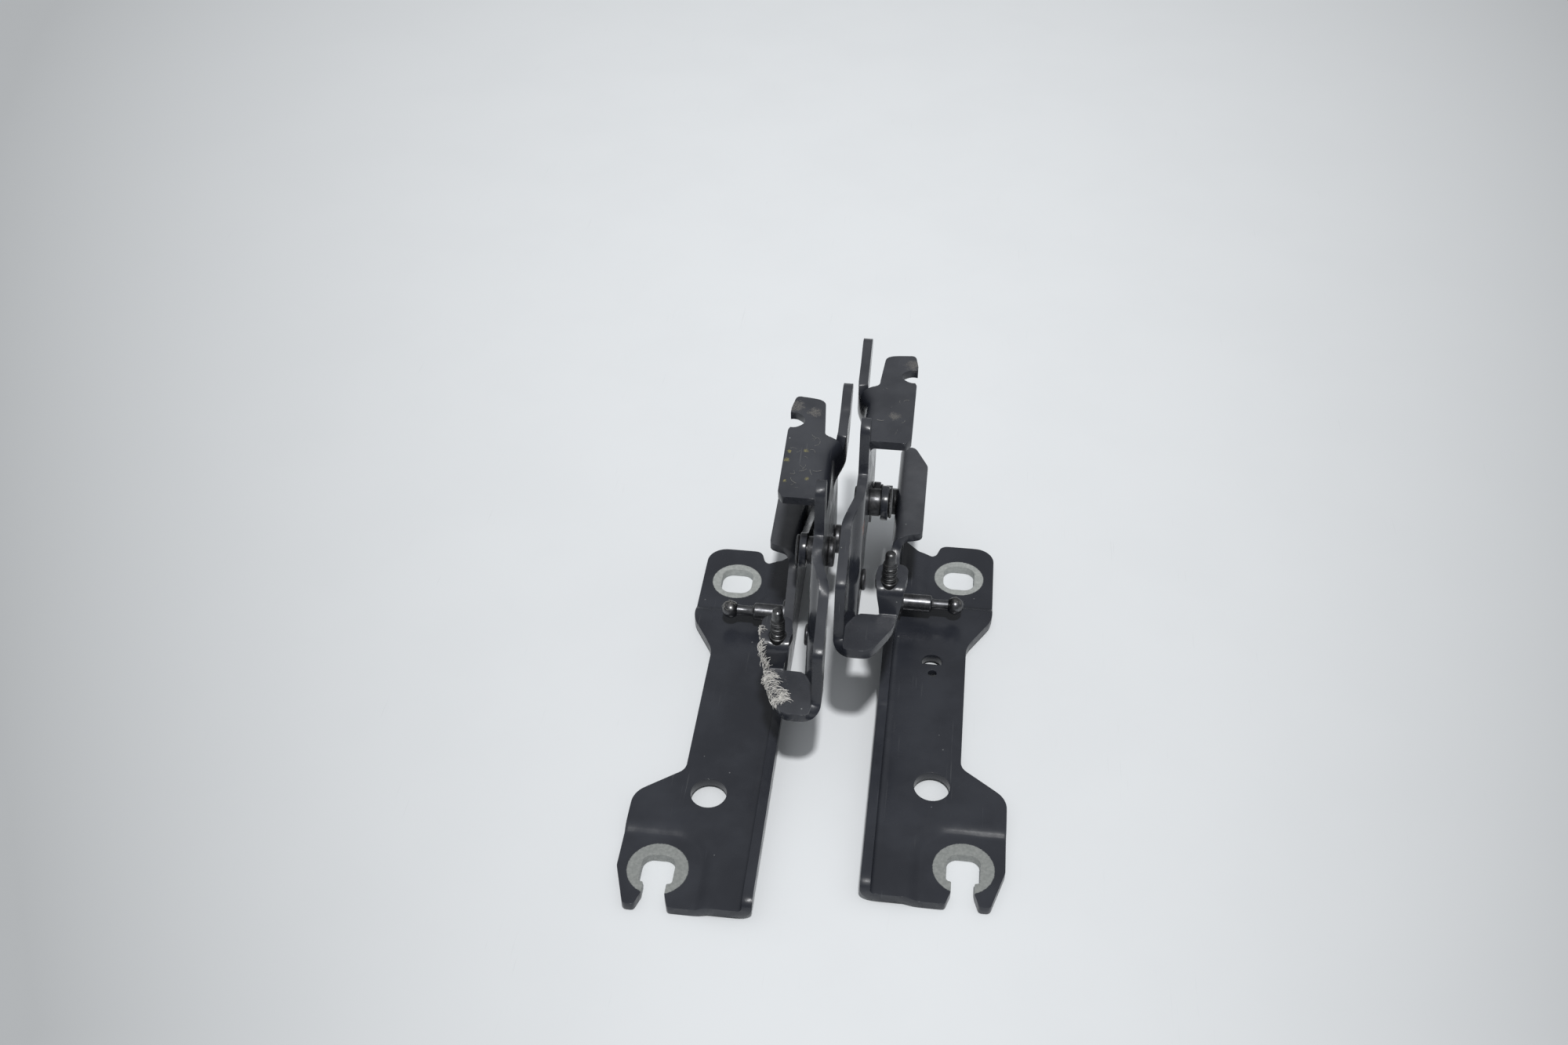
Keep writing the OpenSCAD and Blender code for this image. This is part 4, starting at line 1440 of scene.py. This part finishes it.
def fibre_group(name, material, turns):
    """Short bent fibres scattered over faces in tufts, turned within the given angles and sized at random."""
    group, given, names = geometry_group(name, "Density", "Length", "Thickness", "Seed")
    position = add_node(group, "GeometryNodeInputPosition").outputs[0]
    tufts = patches(group, position, TUFT_WAVES, detail=2.0, ends=(0.42, 0.58))
    scatter = add_node(group, "GeometryNodeDistributePointsOnFaces", {
        "Mesh": given["Geometry"], "Seed": given["Seed"], "Density": product(group, given["Density"], tufts),
    }).outputs
    strand = add_node(group, "GeometryNodeCurveQuadraticBezier", {"Resolution": FIBRE_STEPS, **FIBRE_BEND})
    scale = add_node(group, "ShaderNodeCombineXYZ", {axis: given["Length"] for axis in "XYZ"})
    sized = add_node(group, "GeometryNodeTransform", {
        "Geometry": strand.outputs["Curve"], "Scale": scale.outputs["Vector"],
    })
    fibre = swept(group, sized.outputs["Geometry"], given["Thickness"], FIBRE_SIDES)
    lean, roll = FIBRE_TILT
    angles = {"Min": (-lean, -roll, turns[0]), "Max": (lean, roll, turns[1])}
    turn = add_node(group, "FunctionNodeRandomValue", angles, data_type="FLOAT_VECTOR").outputs["Value"]
    sizes = {2: FIBRE_SIZES[0], 3: FIBRE_SIZES[1]}
    size = add_node(group, "FunctionNodeRandomValue", sizes, data_type="FLOAT").outputs[1]
    turns_by = {"Rotation": scatter["Rotation"], "Rotate By": turn}
    tilt = add_node(group, "FunctionNodeRotateEuler", turns_by, space="LOCAL").outputs["Rotation"]
    put = add_node(group, "GeometryNodeInstanceOnPoints", {
        "Points": scatter["Points"], "Instance": fibre, "Rotation": tilt, "Scale": size,
    })
    finish_group(group, put.outputs["Instances"], material)
    return group, names


RESIDUE = fibre_group("torn_residue", fibre_material("residue", (0.90, 0.88, 0.84)), (0.9, 2.1))
LINT = fibre_group("lint", fibre_material("lint_grey", (0.42, 0.41, 0.38)), (-3.1, 3.1))

# %% Fibres on a patch
FIBRE_SEED = 4


def patch(name, rows):
    """A mesh of quads through rows of row-frame points."""
    count = len(rows[0])
    faces = [
        (i * count + k, (i + 1) * count + k, (i + 1) * count + k + 1, i * count + k + 1)
        for i in range(len(rows) - 1) for k in range(count - 1)
    ]
    mesh = bpy.data.meshes.new(name)
    mesh.from_pydata([p for row in rows for p in row], [], faces)
    return mesh


def fibres(name, rows, kind, body, density, length, thickness):
    """Fibres of one kind over a patch; density is in fibres a square metre and sizes in millimetres."""
    piece = link_object(name, patch(name, rows))
    sizes = {"Density": density, "Length": length * MM, "Thickness": thickness * MM, "Seed": FIBRE_SEED}
    shade(worked(piece, *kind, sizes))
    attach(piece, body)


def on_sheet(place, a, b, lift):
    """A place this far off the middle of a bent sheet."""
    return place(a, b) + lift * bend_normal(place, a, b)


print("fibres with seed", FIBRE_SEED)

# %% Lint on the balls
BALL_RINGS = ((3.2, -2.4), (4.0, 0.0), (3.2, 2.4), (1.2, 3.9))
BALL_TURNS = (0.3, 1.0, 1.7, 2.4)
for side in SIDES:
    rows = [
        [ball_place(side)(Vector((r * math.cos(t), r * math.sin(t), BALL_REACH + h))) for t in BALL_TURNS]
        for r, h in BALL_RINGS
    ]
    fibres(side + "_ball_lint", rows, LINT, "brackets", density=1.6e6, length=2.6, thickness=0.06)

# %% Torn residue on the left foot
RIM_MARGIN = (1.2, 5.5)
RESIDUE_FRONT = 51.0
RESIDUE_BACK = 82 + RISER_GAIN
RESIDUE_GROWTH = 30 + RISER_GAIN
NOSE_BACK = 64.0
NOSE_REACH = 43.0
RIM_REACH = 40.0


def residue_rows(to_row):
    """Across the foot's outer rim: under edge, top edge and a margin of the top face."""
    rows = []
    for i, point in enumerate(foot_outline):
        d, along = point
        inward = FOOT_L + FOOT_MID - FOOT_R - d
        reach = NOSE_REACH if along < NOSE_BACK else RIM_REACH
        if not (RESIDUE_FRONT <= along < RESIDUE_BACK and inward < reach):
            continue
        way = (foot_outline[(i + 1) % len(foot_outline)] - foot_outline[i - 1]).normalized()
        share = smooth((RESIDUE_BACK - along) / RESIDUE_GROWTH)
        margin = point + (RIM_MARGIN[0] + share * (RIM_MARGIN[1] - RIM_MARGIN[0])) * Vector((way.y, -way.x))
        rows.append([
            to_row(on_sheet(foot_place, d, along, 0.2 * SHEET)),
            to_row(on_sheet(foot_place, d, along, -SHEET / 2 - 0.1)),
            to_row(on_sheet(foot_place, margin.x, margin.y, -SHEET / 2 - 0.15)),
        ])
    return rows


rows = residue_rows(arm_to_row("left"))
fibres("left_foot_residue", rows, RESIDUE, "left_arm_body", density=3.4e6, length=4.4, thickness=0.10)

# %% Lint on the bonnet plates
LINT_ALONG = (4, 20, 36)
LINT_INWARD = (49, 42, 36)
for side in SIDES:
    to_row = arm_to_row(side)
    rows = [
        [to_row(on_sheet(flange_place, y, on_plate(inward), SHEET / 2 + 0.1)) for inward in LINT_INWARD]
        for y in LINT_ALONG
    ]
    fibres(side + "_plate_lint", rows, LINT, side + "_arm_body", density=7.0e4, length=3.4, thickness=0.05)
